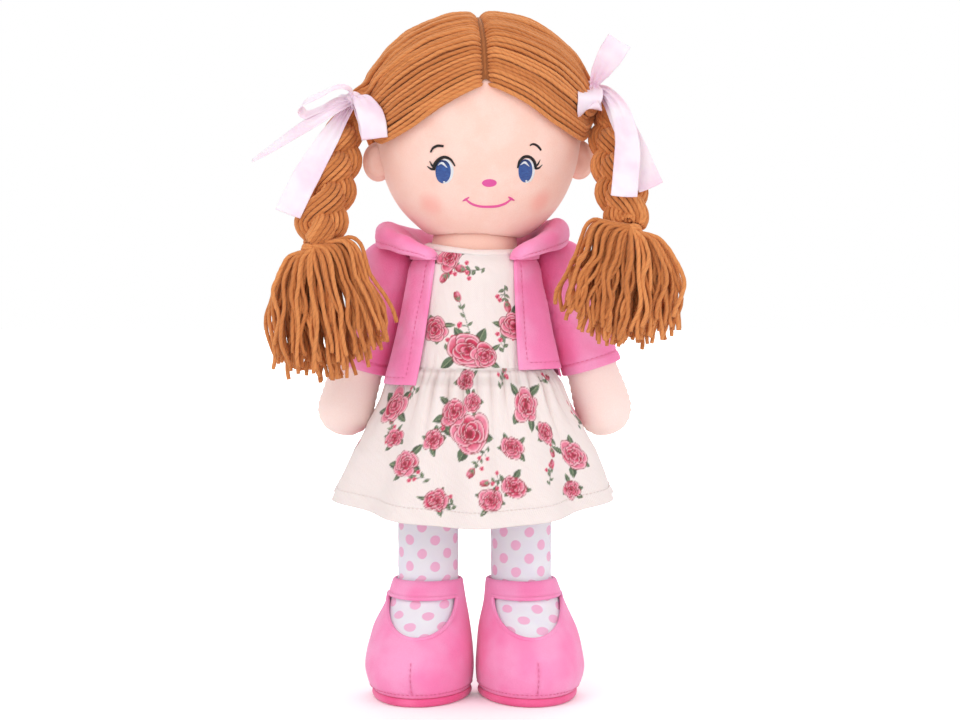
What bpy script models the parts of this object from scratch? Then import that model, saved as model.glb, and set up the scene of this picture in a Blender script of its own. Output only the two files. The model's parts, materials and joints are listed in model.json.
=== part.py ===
"""A stuffed rag doll with yarn braids, a jacket, a gathered dress and bar shoes.

Metres, +Z up, the doll faces -Y and stands on the plane z = 0.
"""
import bmesh
import bpy
import math
import numpy as np
from mathutils import Matrix, Vector

# Clearances
GAP = 0.0003
SHELL_GAP = 0.0006

# Legs, measured from the floor
SOLE_THICKNESS = 0.005
HIP_HEIGHT = 0.146
HIP_SPACING = 0.0546
THIGH_RADIUS = 0.0182
ANKLE_RADIUS = 0.0176

# Shoes
SHOE_HEIGHT = 0.0690
SHOE_HALF_WIDTH = 0.0319
TOE_LENGTH = 0.052
HEEL_LENGTH = 0.029
SHOE_SPACING = 0.0646
SHOE_WALL = 0.0022
TOE_OUT_ANGLE = math.radians(5)
VAMP_HALF_WIDTH = 0.0205
VAMP_TOP = 0.0600
VAMP_BOTTOM = 0.0385

# Torso
TORSO_HEIGHT = 0.094
HIP_HALF_WIDTH = 0.044
HIP_HALF_DEPTH = 0.033
WAIST_RISE = 0.030

# Neck
NECK_RADIUS = 0.025
NECK_RISE = 0.004
SOCKET_GAP = 0.0005
BINDING_RADIUS = 0.0017

# Arms
SHOULDER_X = 0.051
SHOULDER_Y = 0.011
SHOULDER_DROP = 0.0075
SHOULDER_RADIUS = 0.0142
ARM_LENGTH = 0.103
ARM_SPREAD = math.radians(16.7)
WRIST_RADIUS = 0.0152
HAND_RADIUS = 0.0168
SLEEVE_LENGTH = 0.062
SLEEVE_THICKNESS = 0.0015
CUFF_THICKNESS = 0.0022
TAB_THICKNESS = 0.001
TAB_HALF_ANGLE = math.radians(22)

# Dress
BODICE_THICKNESS = 0.0012
SKIRT_THICKNESS = 0.001
SKIRT_LENGTH = 0.089
SKIRT_HEM_HALF_WIDTH = 0.078
SKIRT_HEM_HALF_DEPTH = 0.056
SKIRT_FOLD_DEPTH = 0.007
SKIRT_SIDE_RISE = 0.0135
SKIRT_FOLDS = 10
SKIRT_FLARE_POWER = 1.3

# Jacket
JACKET_THICKNESS = 0.0025
JACKET_LENGTH = 0.069
LEFT_FRONT_LENGTH = 0.072
RIGHT_FRONT_LENGTH = 0.063
JACKET_TOP_DROP = 0.0025
JACKET_EASE = 0.0008
JACKET_FLARE = 0.0028
JACKET_OPENING = 0.0205
LEFT_HEM_OPENING = 0.0290
RIGHT_HEM_OPENING = 0.0225
COLLAR_HEIGHT = 0.023
COLLAR_THICKNESS = 0.012
COLLAR_LEAN = 0.0075

# Head
CHIN_RISE = 0.0035
FACE_DROP = 0.079
CROWN_HEIGHT = 0.0495
HEAD_HALF_WIDTH = 0.0602
HEAD_HALF_DEPTH = 0.0505
HEAD_TURN_ANGLE = math.radians(5)
HEAD_TILT_ANGLE = math.radians(-0.6)
HEAD_ASIDE = 0.0030
EAR_HALF_HEIGHT = 0.0110
EAR_HALF_DEPTH = 0.0055
EAR_REACH = 0.0085
EAR_DROP = 0.0331

# Embroidered face, as heights above the chin and distances from the middle of the face
STITCH_THICKNESS = 0.0007
EYE_SPACING = 0.0480
EYE_RISE = 0.0395
IRIS_HALF_WIDTH = 0.0050
IRIS_HALF_HEIGHT = 0.0072
LID_WIDTH = 0.0014
LASH_LENGTH = 0.0045
BROW_RISE = 0.0515
BROW_SPACING = 0.0545
BROW_LENGTH = 0.0080
BROW_WIDTH = 0.0010
NOSE_RISE = 0.0330
NOSE_HALF_WIDTH = 0.0042
NOSE_HALF_HEIGHT = 0.0022
MOUTH_RISE = 0.0245
MOUTH_HALF_WIDTH = 0.0148
MOUTH_SAG = 0.0042
MOUTH_WIDTH = 0.0011

# Hair
HAIR_THICKNESS = 0.0055
PARTING_WIDTH = 0.0022
BRAID_ROOT_RISE = 0.0045
BRAID_ROOT_OUT = 0.0074
PLAIT_PITCH = 0.059
PLAIT_SWING = 0.0074
PLAIT_TURN_ANGLE = math.radians(45)
PLAIT_WEAVE = 0.0070
BUNDLE_HALF_WIDTH = 0.0060
BUNDLE_HALF_DEPTH = 0.0056
BUNDLE_GAP = 0.0013
WRAP_RADIUS = 0.0080
WRAP_HEIGHT = 0.0070
TASSEL_HALF_WIDTH = 0.0360
TASSEL_HALF_DEPTH = 0.0185
LEFT_BRAID_DROP = 0.0840
LEFT_BRAID_SPREAD = 0.0198
LEFT_BRAID_FORWARD = 0.0340
LEFT_TASSEL_LENGTH = 0.0660
LEFT_TASSEL_LEAN = 0.0100
RIGHT_BRAID_DROP = 0.0755
RIGHT_BRAID_SPREAD = 0.0125
RIGHT_BRAID_FORWARD = 0.0530
RIGHT_TASSEL_LENGTH = 0.0600
RIGHT_TASSEL_LEAN = 0.0065

# Ribbons
RIBBON_WIDTH = 0.0150
RIBBON_THICKNESS = 0.0008
RIBBON_LOOP_LENGTH = 0.0320
RIBBON_TAIL_LENGTH = 0.0700
KNOT_RADIUS = 0.0052
KNOT_HALF_DEPTH = 0.0034

# Facets
ROUND_STEPS = 24
LIMB_STEPS = 16
FOOT_STEPS = 20
BUNDLE_STEPS = 7
BUNDLE_RINGS = 32

# Torso outline: shares of its height, of the half width and of the half depth at the hips
TORSO_HEIGHT_SHARES = (0, 0.035, 0.10, 0.20, 0.32, 0.46, 0.62, 0.78, 0.89, 0.96, 1)
TORSO_WIDTH_SHARES = (0.80, 0.91, 0.97, 0.985, 0.945, 0.89, 0.82, 0.79, 0.79, 0.73, 0.63)
TORSO_DEPTH_SHARES = (0.78, 0.90, 0.98, 1, 0.98, 0.95, 0.93, 0.92, 0.91, 0.89, 0.86)

# Collar: place from its front end to the nape, then shares of its thickness, height and lean
COLLAR_PLACE_SHARES = (0, 0.08, 0.20, 0.32, 0.5)
COLLAR_THICKNESS_SHARES = (0.45, 1, 1, 0.62, 0.5)
COLLAR_HEIGHT_SHARES = (0.45, 0.85, 1, 0.82, 0.66)
COLLAR_LEAN_SHARES = (0.2, 0.6, 1, 0.7, 0.4)

# Shoe outline: heights, and how far each way has grown from the leg to the shoe's full reach
SHOE_LEVEL_SHARES = (0, 0.07, 0.20, 0.36, 0.50, 0.64, 0.80, 1)
SHOE_WIDTH_SHARES = (0.70, 0.90, 1, 0.93, 0.77, 0.55, 0.27, 0)
SHOE_TOE_SHARES = (0.86, 0.96, 1, 0.92, 0.72, 0.46, 0.17, 0)
SHOE_HEEL_SHARES = (0.58, 0.86, 1, 0.98, 0.82, 0.56, 0.25, 0)

# Ribbon loops, as shares of a loop's length from the knot: middle line, and the way the width lies
LEFT_LOOP_SHARES = (
    (
        ((0, -0.06, 0.05), (0.12, -0.50, 0.05), (0.44, -0.90, -0.12), (0.68, -1.03, -0.44),
         (0.60, -0.97, -0.68), (0.28, -0.62, -0.48), (0.02, -0.05, -0.09)),
        (0.70, 0.35, 0.45),
    ),
    (
        ((0, -0.08, 0), (-0.31, -0.42, 0.06), (-0.75, -0.52, 0.06), (-0.95, -0.33, 0.04),
         (-0.75, -0.16, 0), (-0.31, -0.20, -0.04), (0, 0.01, 0)),
        (0.05, 0, 1),
    ),
)
RIGHT_LOOP_SHARES = (
    (
        ((0, -0.08, 0.02), (0.16, -0.25, 0.38), (0.38, -0.31, 0.84), (0.50, -0.16, 1.03),
         (0.53, 0, 0.84), (0.34, 0.06, 0.38), (0.03, 0.02, 0.05)),
        (0.87, 0.05, -0.50),
    ),
    (
        ((0, -0.06, 0.05), (-0.02, -0.42, 0.08), (-0.05, -0.68, -0.02), (-0.05, -0.70, -0.28),
         (-0.02, -0.44, -0.34), (0, -0.03, -0.08)),
        (1, 0.1, 0.1),
    ),
)

# Ribbon tails, as shares of a tail's length: middle line, and the way the width lies at each point
LEFT_TAIL_SHARES = (
    (
        ((0, 0, 0), (-0.21, -0.17, -0.09), (-0.51, -0.23, -0.29), (-0.77, -0.20, -0.49)),
        ((-0.5, 0.3, 0.8), (-0.5, 0.4, 0.75), (-0.45, 0.5, 0.7), (-0.3, 0.6, 0.7)),
    ),
    (
        ((0, 0, 0), (-0.10, -0.21, -0.11), (-0.26, -0.39, -0.46), (-0.46, -0.51, -0.89)),
        ((0.8, 0, -0.5), (0.9, 0.1, -0.4), (1, 0.1, -0.3), (1, 0.1, -0.25)),
    ),
)
RIGHT_TAIL_SHARES = (
    (
        ((0, 0, 0), (0.04, -0.20, -0.19), (0.11, -0.49, -0.54), (0.20, -0.72, -0.83)),
        ((1, 0, 0), (1, 0.1, 0.1), (1, 0.1, 0.1), (1, 0.1, 0.2)),
    ),
    (
        ((0, 0, 0), (0.14, -0.20, -0.13), (0.31, -0.45, -0.46), (0.44, -0.62, -0.76)),
        ((0.8, 0, 0.5), (0.9, 0, 0.4), (0.9, 0, 0.35), (0.9, 0.2, 0.35)),
    ),
)
LOOP_WIDTH_SHARES = (0.25, 0.75, 1, 1, 1, 0.75, 0.25)
TAIL_WIDTH_SHARES = (0.25, 0.75, 1, 1)

# How much of its width a braid keeps at its root
ROOT_SHARE = 0.40

# How much of its thickness the hair loses at the front and back edges of the parting
HAIR_THINNING = 0.25

# Hair edge: azimuth from the front of the face, and height from the chin to the crown
HAIRLINE_AZIMUTHS = (0, 20, 40, 58, 75, 98, 115, 132, 155, 180)
HAIRLINE_HEIGHT_SHARES = (0.705, 0.625, 0.530, 0.475, 0.452, 0.450, 0.36, 0.235, 0.165, 0.15)

# Fullness exponents of the face below and above its widest ring; 2 is an ellipse
LOWER_FULLNESS = 2.5
UPPER_FULLNESS = 2.05

# Heights that follow from the sizes above
TORSO_BOTTOM = HIP_HEIGHT + THIGH_RADIUS + GAP
TORSO_TOP = TORSO_BOTTOM + TORSO_HEIGHT
WAIST = TORSO_BOTTOM + WAIST_RISE
JACKET_TOP = TORSO_TOP - JACKET_TOP_DROP
NECK_PIVOT = Vector((0, 0, TORSO_TOP + GAP + NECK_RISE))
CHIN = CHIN_RISE
HEAD_MIDDLE = CHIN + FACE_DROP
SHOULDER_HEIGHT = TORSO_TOP - SHOULDER_DROP
SLEEVE_BALL_RADIUS = SHOULDER_RADIUS + GAP + SLEEVE_THICKNESS
TAB_RADIUS = SLEEVE_BALL_RADIUS + GAP
SHOULDER_SOCKET_RADIUS = TAB_RADIUS + TAB_THICKNESS + GAP
SHOE_BOTTOM = SOLE_THICKNESS + GAP
SIDES = (("left", -1), ("right", 1))

SKIN = ("skin", (0.95, 0.72, 0.62), 0.9)
HOT_PINK = ("velour", (0.95, 0.20, 0.45), 0.9)
DEEP_PINK = ("sole_cloth", (0.88, 0.12, 0.36), 0.9)
YARN = ("yarn", (0.58, 0.25, 0.07), 0.9)
SATIN = ("satin", (0.95, 0.72, 0.82), 0.35)
DRESS_CLOTH = ("dress_cloth", (0.93, 0.84, 0.82), 0.8)
TIGHTS = ("tights", (0.78, 0.74, 0.88), 0.9)
IRIS_THREAD = ("iris_thread", (0.04, 0.14, 0.42), 0.5)
BLACK_THREAD = ("black_thread", (0.02, 0.02, 0.02), 0.5)
PINK_THREAD = ("pink_thread", (0.85, 0.10, 0.35), 0.5)


def clear_scene():
    for old in list(bpy.data.objects):
        bpy.data.objects.remove(old, do_unlink=True)


def material(finish):
    """The named material, made once and shared by its look but not by its data."""
    name, colour, roughness = finish
    made = bpy.data.materials.new(name)
    made.use_nodes = True
    shader = made.node_tree.nodes["Principled BSDF"]
    shader.inputs["Base Color"].default_value = (*colour, 1)
    shader.inputs["Roughness"].default_value = roughness
    shader.inputs["Metallic"].default_value = 0
    return made


def add_object(name, mesh, finish, parent, in_world=True):
    """Link a mesh as a named object under its joint's empty.

    The mesh is in world places, or already in the empty's own frame."""
    mesh.shade_smooth()
    mesh.set_sharp_from_angle(angle=math.radians(50))
    if in_world:
        mesh.transform(parent.matrix_world.inverted())
    piece = bpy.data.objects.new(name, mesh)
    bpy.context.scene.collection.objects.link(piece)
    mesh.materials.append(material(finish))
    piece.parent = parent
    return piece


def pivot(name, place, parent, turn=Matrix.Identity(4)):
    """An empty on a joint's axis, given by its place in the world."""
    empty = bpy.data.objects.new(name, None)
    bpy.context.scene.collection.objects.link(empty)
    world = Matrix.Translation(place) @ turn
    if parent is not None:
        empty.parent = parent
        world = parent.matrix_world.inverted() @ world
    empty.matrix_basis = world
    bpy.context.view_layer.update()
    return empty


def mesh_of(name, body):
    bmesh.ops.recalc_face_normals(body, faces=body.faces)
    mesh = bpy.data.meshes.new(name)
    body.to_mesh(mesh)
    body.free()
    return mesh


def loft_mesh(name, rings):
    """A closed solid through rings of points; a ring may be a single point at an end."""
    body = bmesh.new()
    rows = [[body.verts.new(point) for point in ring] for ring in rings]
    for low, high in zip(rows, rows[1:]):
        count = max(len(low), len(high))
        for i in range(count):
            j = (i + 1) % count
            if len(low) == 1:
                body.faces.new((low[0], high[i], high[j]))
            elif len(high) == 1:
                body.faces.new((low[i], low[j], high[0]))
            else:
                body.faces.new((low[i], low[j], high[j], high[i]))
    for row in (rows[0], rows[-1]):
        if len(row) > 1:
            body.faces.new(row)
    return mesh_of(name, body)


def shell_mesh(name, outer, inner, closed_round=False):
    """A closed shell between two grids of points, rows along the first index."""
    body = bmesh.new()
    skins = [[[body.verts.new(point) for point in row] for row in grid] for grid in (outer, inner)]
    rows, columns = len(outer), len(outer[0])
    last = columns if closed_round else columns - 1
    for skin in skins:
        for i in range(rows - 1):
            for j in range(last):
                k = (j + 1) % columns
                body.faces.new((skin[i][j], skin[i][k], skin[i + 1][k], skin[i + 1][j]))
    out, into = skins
    for i in (0, rows - 1):
        for j in range(last):
            k = (j + 1) % columns
            body.faces.new((out[i][j], out[i][k], into[i][k], into[i][j]))
    if not closed_round:
        for j in (0, columns - 1):
            for i in range(rows - 1):
                body.faces.new((out[i][j], out[i + 1][j], into[i + 1][j], into[i][j]))
    bmesh.ops.remove_doubles(body, verts=body.verts, dist=GAP / 30)
    loose = [edge for edge in body.edges if not edge.link_faces]
    bmesh.ops.delete(body, geom=loose, context="EDGES")
    return mesh_of(name, body)


def cut(piece, cutter):
    """Take a hidden cutter out of a piece."""
    cutter.hide_render = True
    cutter.display_type = "WIRE"
    difference = piece.modifiers.new("cut_" + cutter.name, "BOOLEAN")
    difference.operation = "DIFFERENCE"
    difference.object = cutter
    difference.solver = "EXACT"


def join(piece, addition):
    """Fuse a hidden helper into a piece."""
    addition.hide_render = True
    addition.display_type = "WIRE"
    union = piece.modifiers.new("join_" + addition.name, "BOOLEAN")
    union.operation = "UNION"
    union.object = addition
    union.solver = "EXACT"


def ball(name, place, radius, parent):
    """A faceted ball, its poles along X."""
    body = bmesh.new()
    turn = Matrix.Rotation(math.radians(90), 4, "Y")
    bmesh.ops.create_uvsphere(
        body,
        u_segments=ROUND_STEPS,
        v_segments=ROUND_STEPS // 2,
        radius=radius,
        matrix=Matrix.Translation(place) @ turn,
    )
    return add_object(name, mesh_of(name, body), SKIN, parent)


def smooth(x, places, values):
    """A smooth curve through stations, read at x, that never overshoots them."""
    places = np.array(places, float)
    values = np.array(values, float)
    slopes = np.diff(values) / np.diff(places)
    tangents = np.zeros(len(values))
    for i in range(1, len(values) - 1):
        if slopes[i - 1] * slopes[i] > 0:
            tangents[i] = 2 * slopes[i - 1] * slopes[i] / (slopes[i - 1] + slopes[i])
    tangents[0], tangents[-1] = slopes[0], slopes[-1]
    i = int(np.clip(np.searchsorted(places, x) - 1, 0, len(slopes) - 1))
    width = places[i + 1] - places[i]
    t = float(np.clip((x - places[i]) / width, 0, 1))
    return float(
        values[i] * (2 * t**3 - 3 * t**2 + 1)
        + tangents[i] * width * (t**3 - 2 * t**2 + t)
        + values[i + 1] * (3 * t**2 - 2 * t**3)
        + tangents[i + 1] * width * (t**3 - t**2)
    )


def ellipse(centre, half_width, half_depth, steps=ROUND_STEPS):
    """A level ring that starts at the back, so facets of nested rings lie in line."""
    ring = []
    for i in range(steps):
        angle = 2 * math.pi * i / steps
        ring.append(
            centre + Vector((half_width * math.sin(angle), half_depth * math.cos(angle), 0))
        )
    return ring


def curve_through(points, steps):
    """Points on a smooth curve through a few chosen points."""
    lengths = [0.0]
    for a, b in zip(points, points[1:]):
        lengths.append(lengths[-1] + (b - a).length)
    padded = [2 * points[0] - points[1], *points, 2 * points[-1] - points[-2]]
    out = []
    for n in range(steps + 1):
        along = lengths[-1] * n / steps
        i = min(int(np.searchsorted(lengths, along, side="right")) - 1, len(points) - 2)
        t = (along - lengths[i]) / (lengths[i + 1] - lengths[i])
        p0, p1, p2, p3 = padded[i : i + 4]
        out.append(
            (
                2 * p1
                + (p2 - p0) * t
                + (2 * p0 - 5 * p1 + 4 * p2 - p3) * t**2
                + (3 * p1 - p0 - 3 * p2 + p3) * t**3
            )
            / 2
        )
    return out


def between(values, share):
    """A value at a share of the way along a list of them, straight between neighbours."""
    place = share * (len(values) - 1)
    i = min(int(place), len(values) - 2)
    return values[i] + (values[i + 1] - values[i]) * (place - i)


def torso_half_sizes(height):
    share = (height - TORSO_BOTTOM) / TORSO_HEIGHT
    return (
        HIP_HALF_WIDTH * smooth(share, TORSO_HEIGHT_SHARES, TORSO_WIDTH_SHARES),
        HIP_HALF_DEPTH * smooth(share, TORSO_HEIGHT_SHARES, TORSO_DEPTH_SHARES),
    )


def torso_levels(low, high):
    """The heights of the torso's rings between two heights, and those two."""
    least = TORSO_HEIGHT / 50
    levels = [TORSO_BOTTOM + TORSO_HEIGHT * share for share in TORSO_HEIGHT_SHARES]
    return [low, *[z for z in levels if low + least < z < high - least], high]


def torso_point(height, angle, offset):
    """A point at a distance outside the torso; the angle runs from the back."""
    half_width, half_depth = torso_half_sizes(height)
    return Vector(
        (
            (half_width + offset) * math.sin(angle),
            (half_depth + offset) * math.cos(angle),
            height,
        )
    )


def shoulder(side):
    return Vector((side * SHOULDER_X, SHOULDER_Y, SHOULDER_HEIGHT))


def sleeve_radius(along):
    """The outside of the sleeve below its round head."""
    wall = SLEEVE_THICKNESS + (CUFF_THICKNESS - SLEEVE_THICKNESS) * along / SLEEVE_LENGTH
    return arm_radius(along) + SHELL_GAP + wall


def arm_clearance(name, side, doll):
    """What an arm sweeps beside the body as it swings about X: a ball that opens into a dish."""
    far_side = SHOULDER_X + ARM_LENGTH
    reach_shares = (0.04, 0.08, 0.12, 0.16, 0.21, 0.30, 0.45, 0.65, 1)
    profile = []
    for share in reach_shares:
        reach = ARM_LENGTH * share
        along = reach / math.cos(ARM_SPREAD)
        radius = sleeve_radius(min(along, SLEEVE_LENGTH)) + GAP
        x = SHOULDER_X + math.tan(ARM_SPREAD) * reach - radius / math.cos(ARM_SPREAD)
        if reach < SHOULDER_SOCKET_RADIUS:
            x = min(x, SHOULDER_X - math.sqrt(SHOULDER_SOCKET_RADIUS**2 - reach**2))
        profile.append((x, reach))
    profile.append((far_side, profile[-1][1]))
    rings = [[Vector((side * (SHOULDER_X - SHOULDER_SOCKET_RADIUS), SHOULDER_Y, SHOULDER_HEIGHT))]]
    for x, reach in profile:
        ring = []
        for i in range(ROUND_STEPS):
            angle = 2 * math.pi * i / ROUND_STEPS
            spoke = Vector((0, math.sin(angle), math.cos(angle))) * reach
            ring.append(Vector((side * x, SHOULDER_Y, SHOULDER_HEIGHT)) + spoke)
        rings.append(ring)
    return add_object(name, loft_mesh(name, rings), SKIN, doll)


def make_torso(doll):
    rings = []
    for z in torso_levels(TORSO_BOTTOM, TORSO_TOP):
        half_width, half_depth = torso_half_sizes(z)
        rings.append(ellipse(Vector((0, 0, z)), half_width, half_depth))
    return add_object("torso", loft_mesh("torso", rings), SKIN, doll)


def make_neck(turn):
    """A dome on a short column, so the head can nod and turn on it."""
    rings = [ellipse(Vector((0, 0, TORSO_TOP + GAP)), NECK_RADIUS, NECK_RADIUS, LIMB_STEPS)]
    dome_rings = 7
    for i in range(dome_rings):
        angle = math.pi / 2 * i / dome_rings
        radius = NECK_RADIUS * math.cos(angle)
        height = NECK_RADIUS * math.sin(angle)
        rings.append(ellipse(NECK_PIVOT + Vector((0, 0, height)), radius, radius, LIMB_STEPS))
    rings.append([NECK_PIVOT + Vector((0, 0, NECK_RADIUS))])
    add_object("neck", loft_mesh("neck", rings), SKIN, turn)


def arm_radius(along):
    """Swells from the shoulder to the hand; along runs from the shoulder's centre."""
    hand_end = ARM_LENGTH - HAND_RADIUS
    places = (0, SLEEVE_LENGTH, hand_end)
    return smooth(along, places, (SHOULDER_RADIUS, WRIST_RADIUS, HAND_RADIUS))


def arm_axis(side):
    return Vector((side * math.sin(ARM_SPREAD), 0, -math.cos(ARM_SPREAD)))


def arm_ring(side, along, radius):
    """A ring square to the arm."""
    axis = arm_axis(side)
    across = Vector((math.cos(ARM_SPREAD), 0, side * math.sin(ARM_SPREAD)))
    centre = shoulder(side) + axis * along
    ring = []
    for i in range(LIMB_STEPS):
        angle = 2 * math.pi * i / LIMB_STEPS
        ring.append(centre + (across * math.sin(angle) + Vector((0, 1, 0)) * math.cos(angle)) * radius)
    return ring


def round_end(side, centre_along, radius, sign, rings=5):
    """Rings of a half ball on the arm's line, from its equator to its pole."""
    made = []
    for i in range(1, rings):
        angle = math.pi / 2 * i / rings
        along = centre_along + sign * radius * math.sin(angle)
        made.append(arm_ring(side, along, radius * math.cos(angle)))
    made.append([shoulder(side) + arm_axis(side) * (centre_along + sign * radius)])
    return made


def make_arm(name, side, lift):
    """A stuffed arm from its shoulder ball to a mitten hand."""
    hand_centre = ARM_LENGTH - HAND_RADIUS
    rings = list(reversed(round_end(side, 0, SHOULDER_RADIUS, -1)))
    steps = 6
    for i in range(steps + 1):
        along = hand_centre * i / steps
        rings.append(arm_ring(side, along, arm_radius(along)))
    rings += round_end(side, hand_centre, HAND_RADIUS, 1)
    add_object("arm_" + name, loft_mesh("arm_" + name, rings), SKIN, lift)


def make_sleeve(name, side, lift):
    """A velour sleeve with a round head in the armhole and a thick turned hem."""
    outer, inner = [], []
    ball_rings = 4
    inner_radius = SHOULDER_RADIUS + GAP
    for i in range(ball_rings):
        angle = math.pi / 2 * (ball_rings - i) / ball_rings
        for rows, radius in ((outer, SLEEVE_BALL_RADIUS), (inner, inner_radius)):
            rows.append(arm_ring(side, -radius * math.sin(angle), radius * math.cos(angle)))
    steps = 4
    for i in range(steps + 1):
        along = SLEEVE_LENGTH * i / steps
        ease = GAP + (SHELL_GAP - GAP) * min(i, 1)
        outer.append(arm_ring(side, along, sleeve_radius(along) - SHELL_GAP + ease))
        inner.append(arm_ring(side, along, arm_radius(along) + ease))
    mesh = shell_mesh("sleeve_" + name, outer, inner, closed_round=True)
    add_object("sleeve_" + name, mesh, HOT_PINK, lift)


def make_arm_tab(name, side, swing):
    """The unstuffed gusset in the armhole: a cup round the shoulder, turned about X."""
    outer, inner = [], []
    rings = 3
    for i in range(rings + 1):
        angle = TAB_HALF_ANGLE * i / rings
        for rows, radius in ((outer, TAB_RADIUS + TAB_THICKNESS), (inner, TAB_RADIUS)):
            row = []
            for j in range(LIMB_STEPS):
                turn = 2 * math.pi * j / LIMB_STEPS
                spoke = Vector((0, math.sin(turn), math.cos(turn))) * math.sin(angle)
                row.append(shoulder(side) + (spoke - Vector((side * math.cos(angle), 0, 0))) * radius)
            rows.append(row)
    body = shell_mesh("arm_tab_" + name, outer, inner, closed_round=True)
    add_object("arm_tab_" + name, body, SKIN, swing)


def make_bodice(doll):
    """The dress above the waist, from the waist seam to the neck binding."""
    outer, inner = [], []
    for z in torso_levels(WAIST, TORSO_TOP):
        for rows, offset in ((outer, GAP + BODICE_THICKNESS), (inner, GAP)):
            rows.append(
                [torso_point(z, 2 * math.pi * i / ROUND_STEPS, offset) for i in range(ROUND_STEPS)]
            )
    mesh = shell_mesh("dress_bodice", outer, inner, closed_round=True)
    return add_object("dress_bodice", mesh, DRESS_CLOTH, doll)


def make_neck_binding(doll):
    """The bound edge of the neckline, a ring round the foot of the neck."""
    ring_radius = NECK_RADIUS + GAP + BINDING_RADIUS
    height = TORSO_TOP + GAP + BINDING_RADIUS
    body = bmesh.new()
    bmesh.ops.create_circle(
        body,
        segments=6,
        radius=BINDING_RADIUS,
        matrix=Matrix.Translation((ring_radius, 0, height)) @ Matrix.Rotation(math.pi / 2, 4, "X"),
    )
    bmesh.ops.spin(
        body,
        geom=body.verts[:] + body.edges[:],
        axis=(0, 0, 1),
        cent=(0, 0, height),
        angle=2 * math.pi,
        steps=ROUND_STEPS,
        use_merge=True,
    )
    bmesh.ops.remove_doubles(body, verts=body.verts, dist=GAP / 30)
    add_object("dress_neck_binding", mesh_of("dress_neck_binding", body), DRESS_CLOTH, doll)


def skirt_point(share, angle, offset):
    """The gathered skirt: share 0 at the waist seam, 1 at the hem."""
    half_width, half_depth = torso_half_sizes(WAIST - GAP)
    start = SHELL_GAP + offset
    flare = share**SKIRT_FLARE_POWER
    width = half_width + start + (SKIRT_HEM_HALF_WIDTH - half_width) * flare
    depth = half_depth + start + (SKIRT_HEM_HALF_DEPTH - half_depth) * flare
    wave = 1 + math.cos(SKIRT_FOLDS * angle + math.sin(2 * angle))
    fold = SKIRT_FOLD_DEPTH / 2 * wave * share
    rise = SKIRT_SIDE_RISE * math.sin(angle) ** 2 * share**2
    height = WAIST - GAP - SKIRT_LENGTH * share + rise
    return Vector(((width + fold) * math.sin(angle), (depth + fold) * math.cos(angle), height))


def make_skirt(doll):
    """One flared, gathered cloth with its main folds, open below."""
    rows, columns = 6, 50
    outer, inner = [], []
    for i in range(rows + 1):
        share = i / rows
        for grid, offset in ((outer, SKIRT_THICKNESS), (inner, 0)):
            grid.append([skirt_point(share, 2 * math.pi * j / columns, offset) for j in range(columns)])
    mesh = shell_mesh("dress_skirt", outer, inner, closed_round=True)
    add_object("dress_skirt", mesh, DRESS_CLOTH, doll)


def jacket_point(height, angle, offset):
    """A point on the jacket, which stands off the dress more towards its hem."""
    inside = GAP + BODICE_THICKNESS + JACKET_EASE
    share = (JACKET_TOP - height) / JACKET_LENGTH
    return torso_point(height, angle, inside + JACKET_FLARE * share**3 + offset)


def jacket_edge(height, opening_below):
    """The angle of a front edge, whose distance from the middle grows towards the hem."""
    share = (JACKET_TOP - height) / JACKET_LENGTH
    opening = JACKET_OPENING + (opening_below - JACKET_OPENING) * share
    return math.pi - math.asin(opening / torso_half_sizes(height)[0])


def jacket_panel(name, length, columns, first_edge, last_edge, doll):
    """A panel between two edges, each given as an angle for a height."""
    outer, inner = [], []
    for z in torso_levels(JACKET_TOP - length, JACKET_TOP):
        first, last = first_edge(z), last_edge(z)
        angles = [first + (last - first) * i / columns for i in range(columns + 1)]
        for grid, offset in ((outer, JACKET_THICKNESS), (inner, 0)):
            grid.append([jacket_point(z, angle, offset) for angle in angles])
    return add_object(name, shell_mesh(name, outer, inner), HOT_PINK, doll)


def side_seam():
    """The angle of the side seam, a little slit wide, straight down the side."""
    return math.pi / 2 + GAP / HIP_HALF_DEPTH


def make_jacket(doll):
    """Back and two fronts that hang unevenly, with a slit at each side seam."""
    half = ROUND_STEPS // 2
    back = jacket_panel(
        "jacket_back",
        JACKET_LENGTH,
        half,
        lambda z: -math.pi / 2,
        lambda z: math.pi / 2,
        doll,
    )
    right = jacket_panel(
        "jacket_front_right",
        RIGHT_FRONT_LENGTH,
        half // 2,
        lambda z: side_seam(),
        lambda z: jacket_edge(z, RIGHT_HEM_OPENING),
        doll,
    )
    left = jacket_panel(
        "jacket_front_left",
        LEFT_FRONT_LENGTH,
        half // 2,
        lambda z: -jacket_edge(z, LEFT_HEM_OPENING),
        lambda z: -side_seam(),
        doll,
    )
    return [back, right, left]


def collar_path():
    """The collar's foot on the jacket's top edge, from the left front round the nape to the right."""
    half_width, half_depth = torso_half_sizes(JACKET_TOP)
    edge = GAP + BODICE_THICKNESS + JACKET_EASE + JACKET_THICKNESS / 2
    place_shares = ((0.62, -0.84), (0.89, -0.56), (1.03, -0.12), (0.88, 0.50), (0.50, 0.88))
    right = []
    for x, y in place_shares:
        right.append(Vector(((half_width + edge) * x, (half_depth + edge) * y, 0)))
    left = [Vector((-p.x, p.y, 0)) for p in right]
    return [*left, Vector((0, half_depth + edge, 0)), *reversed(right)]


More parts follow.
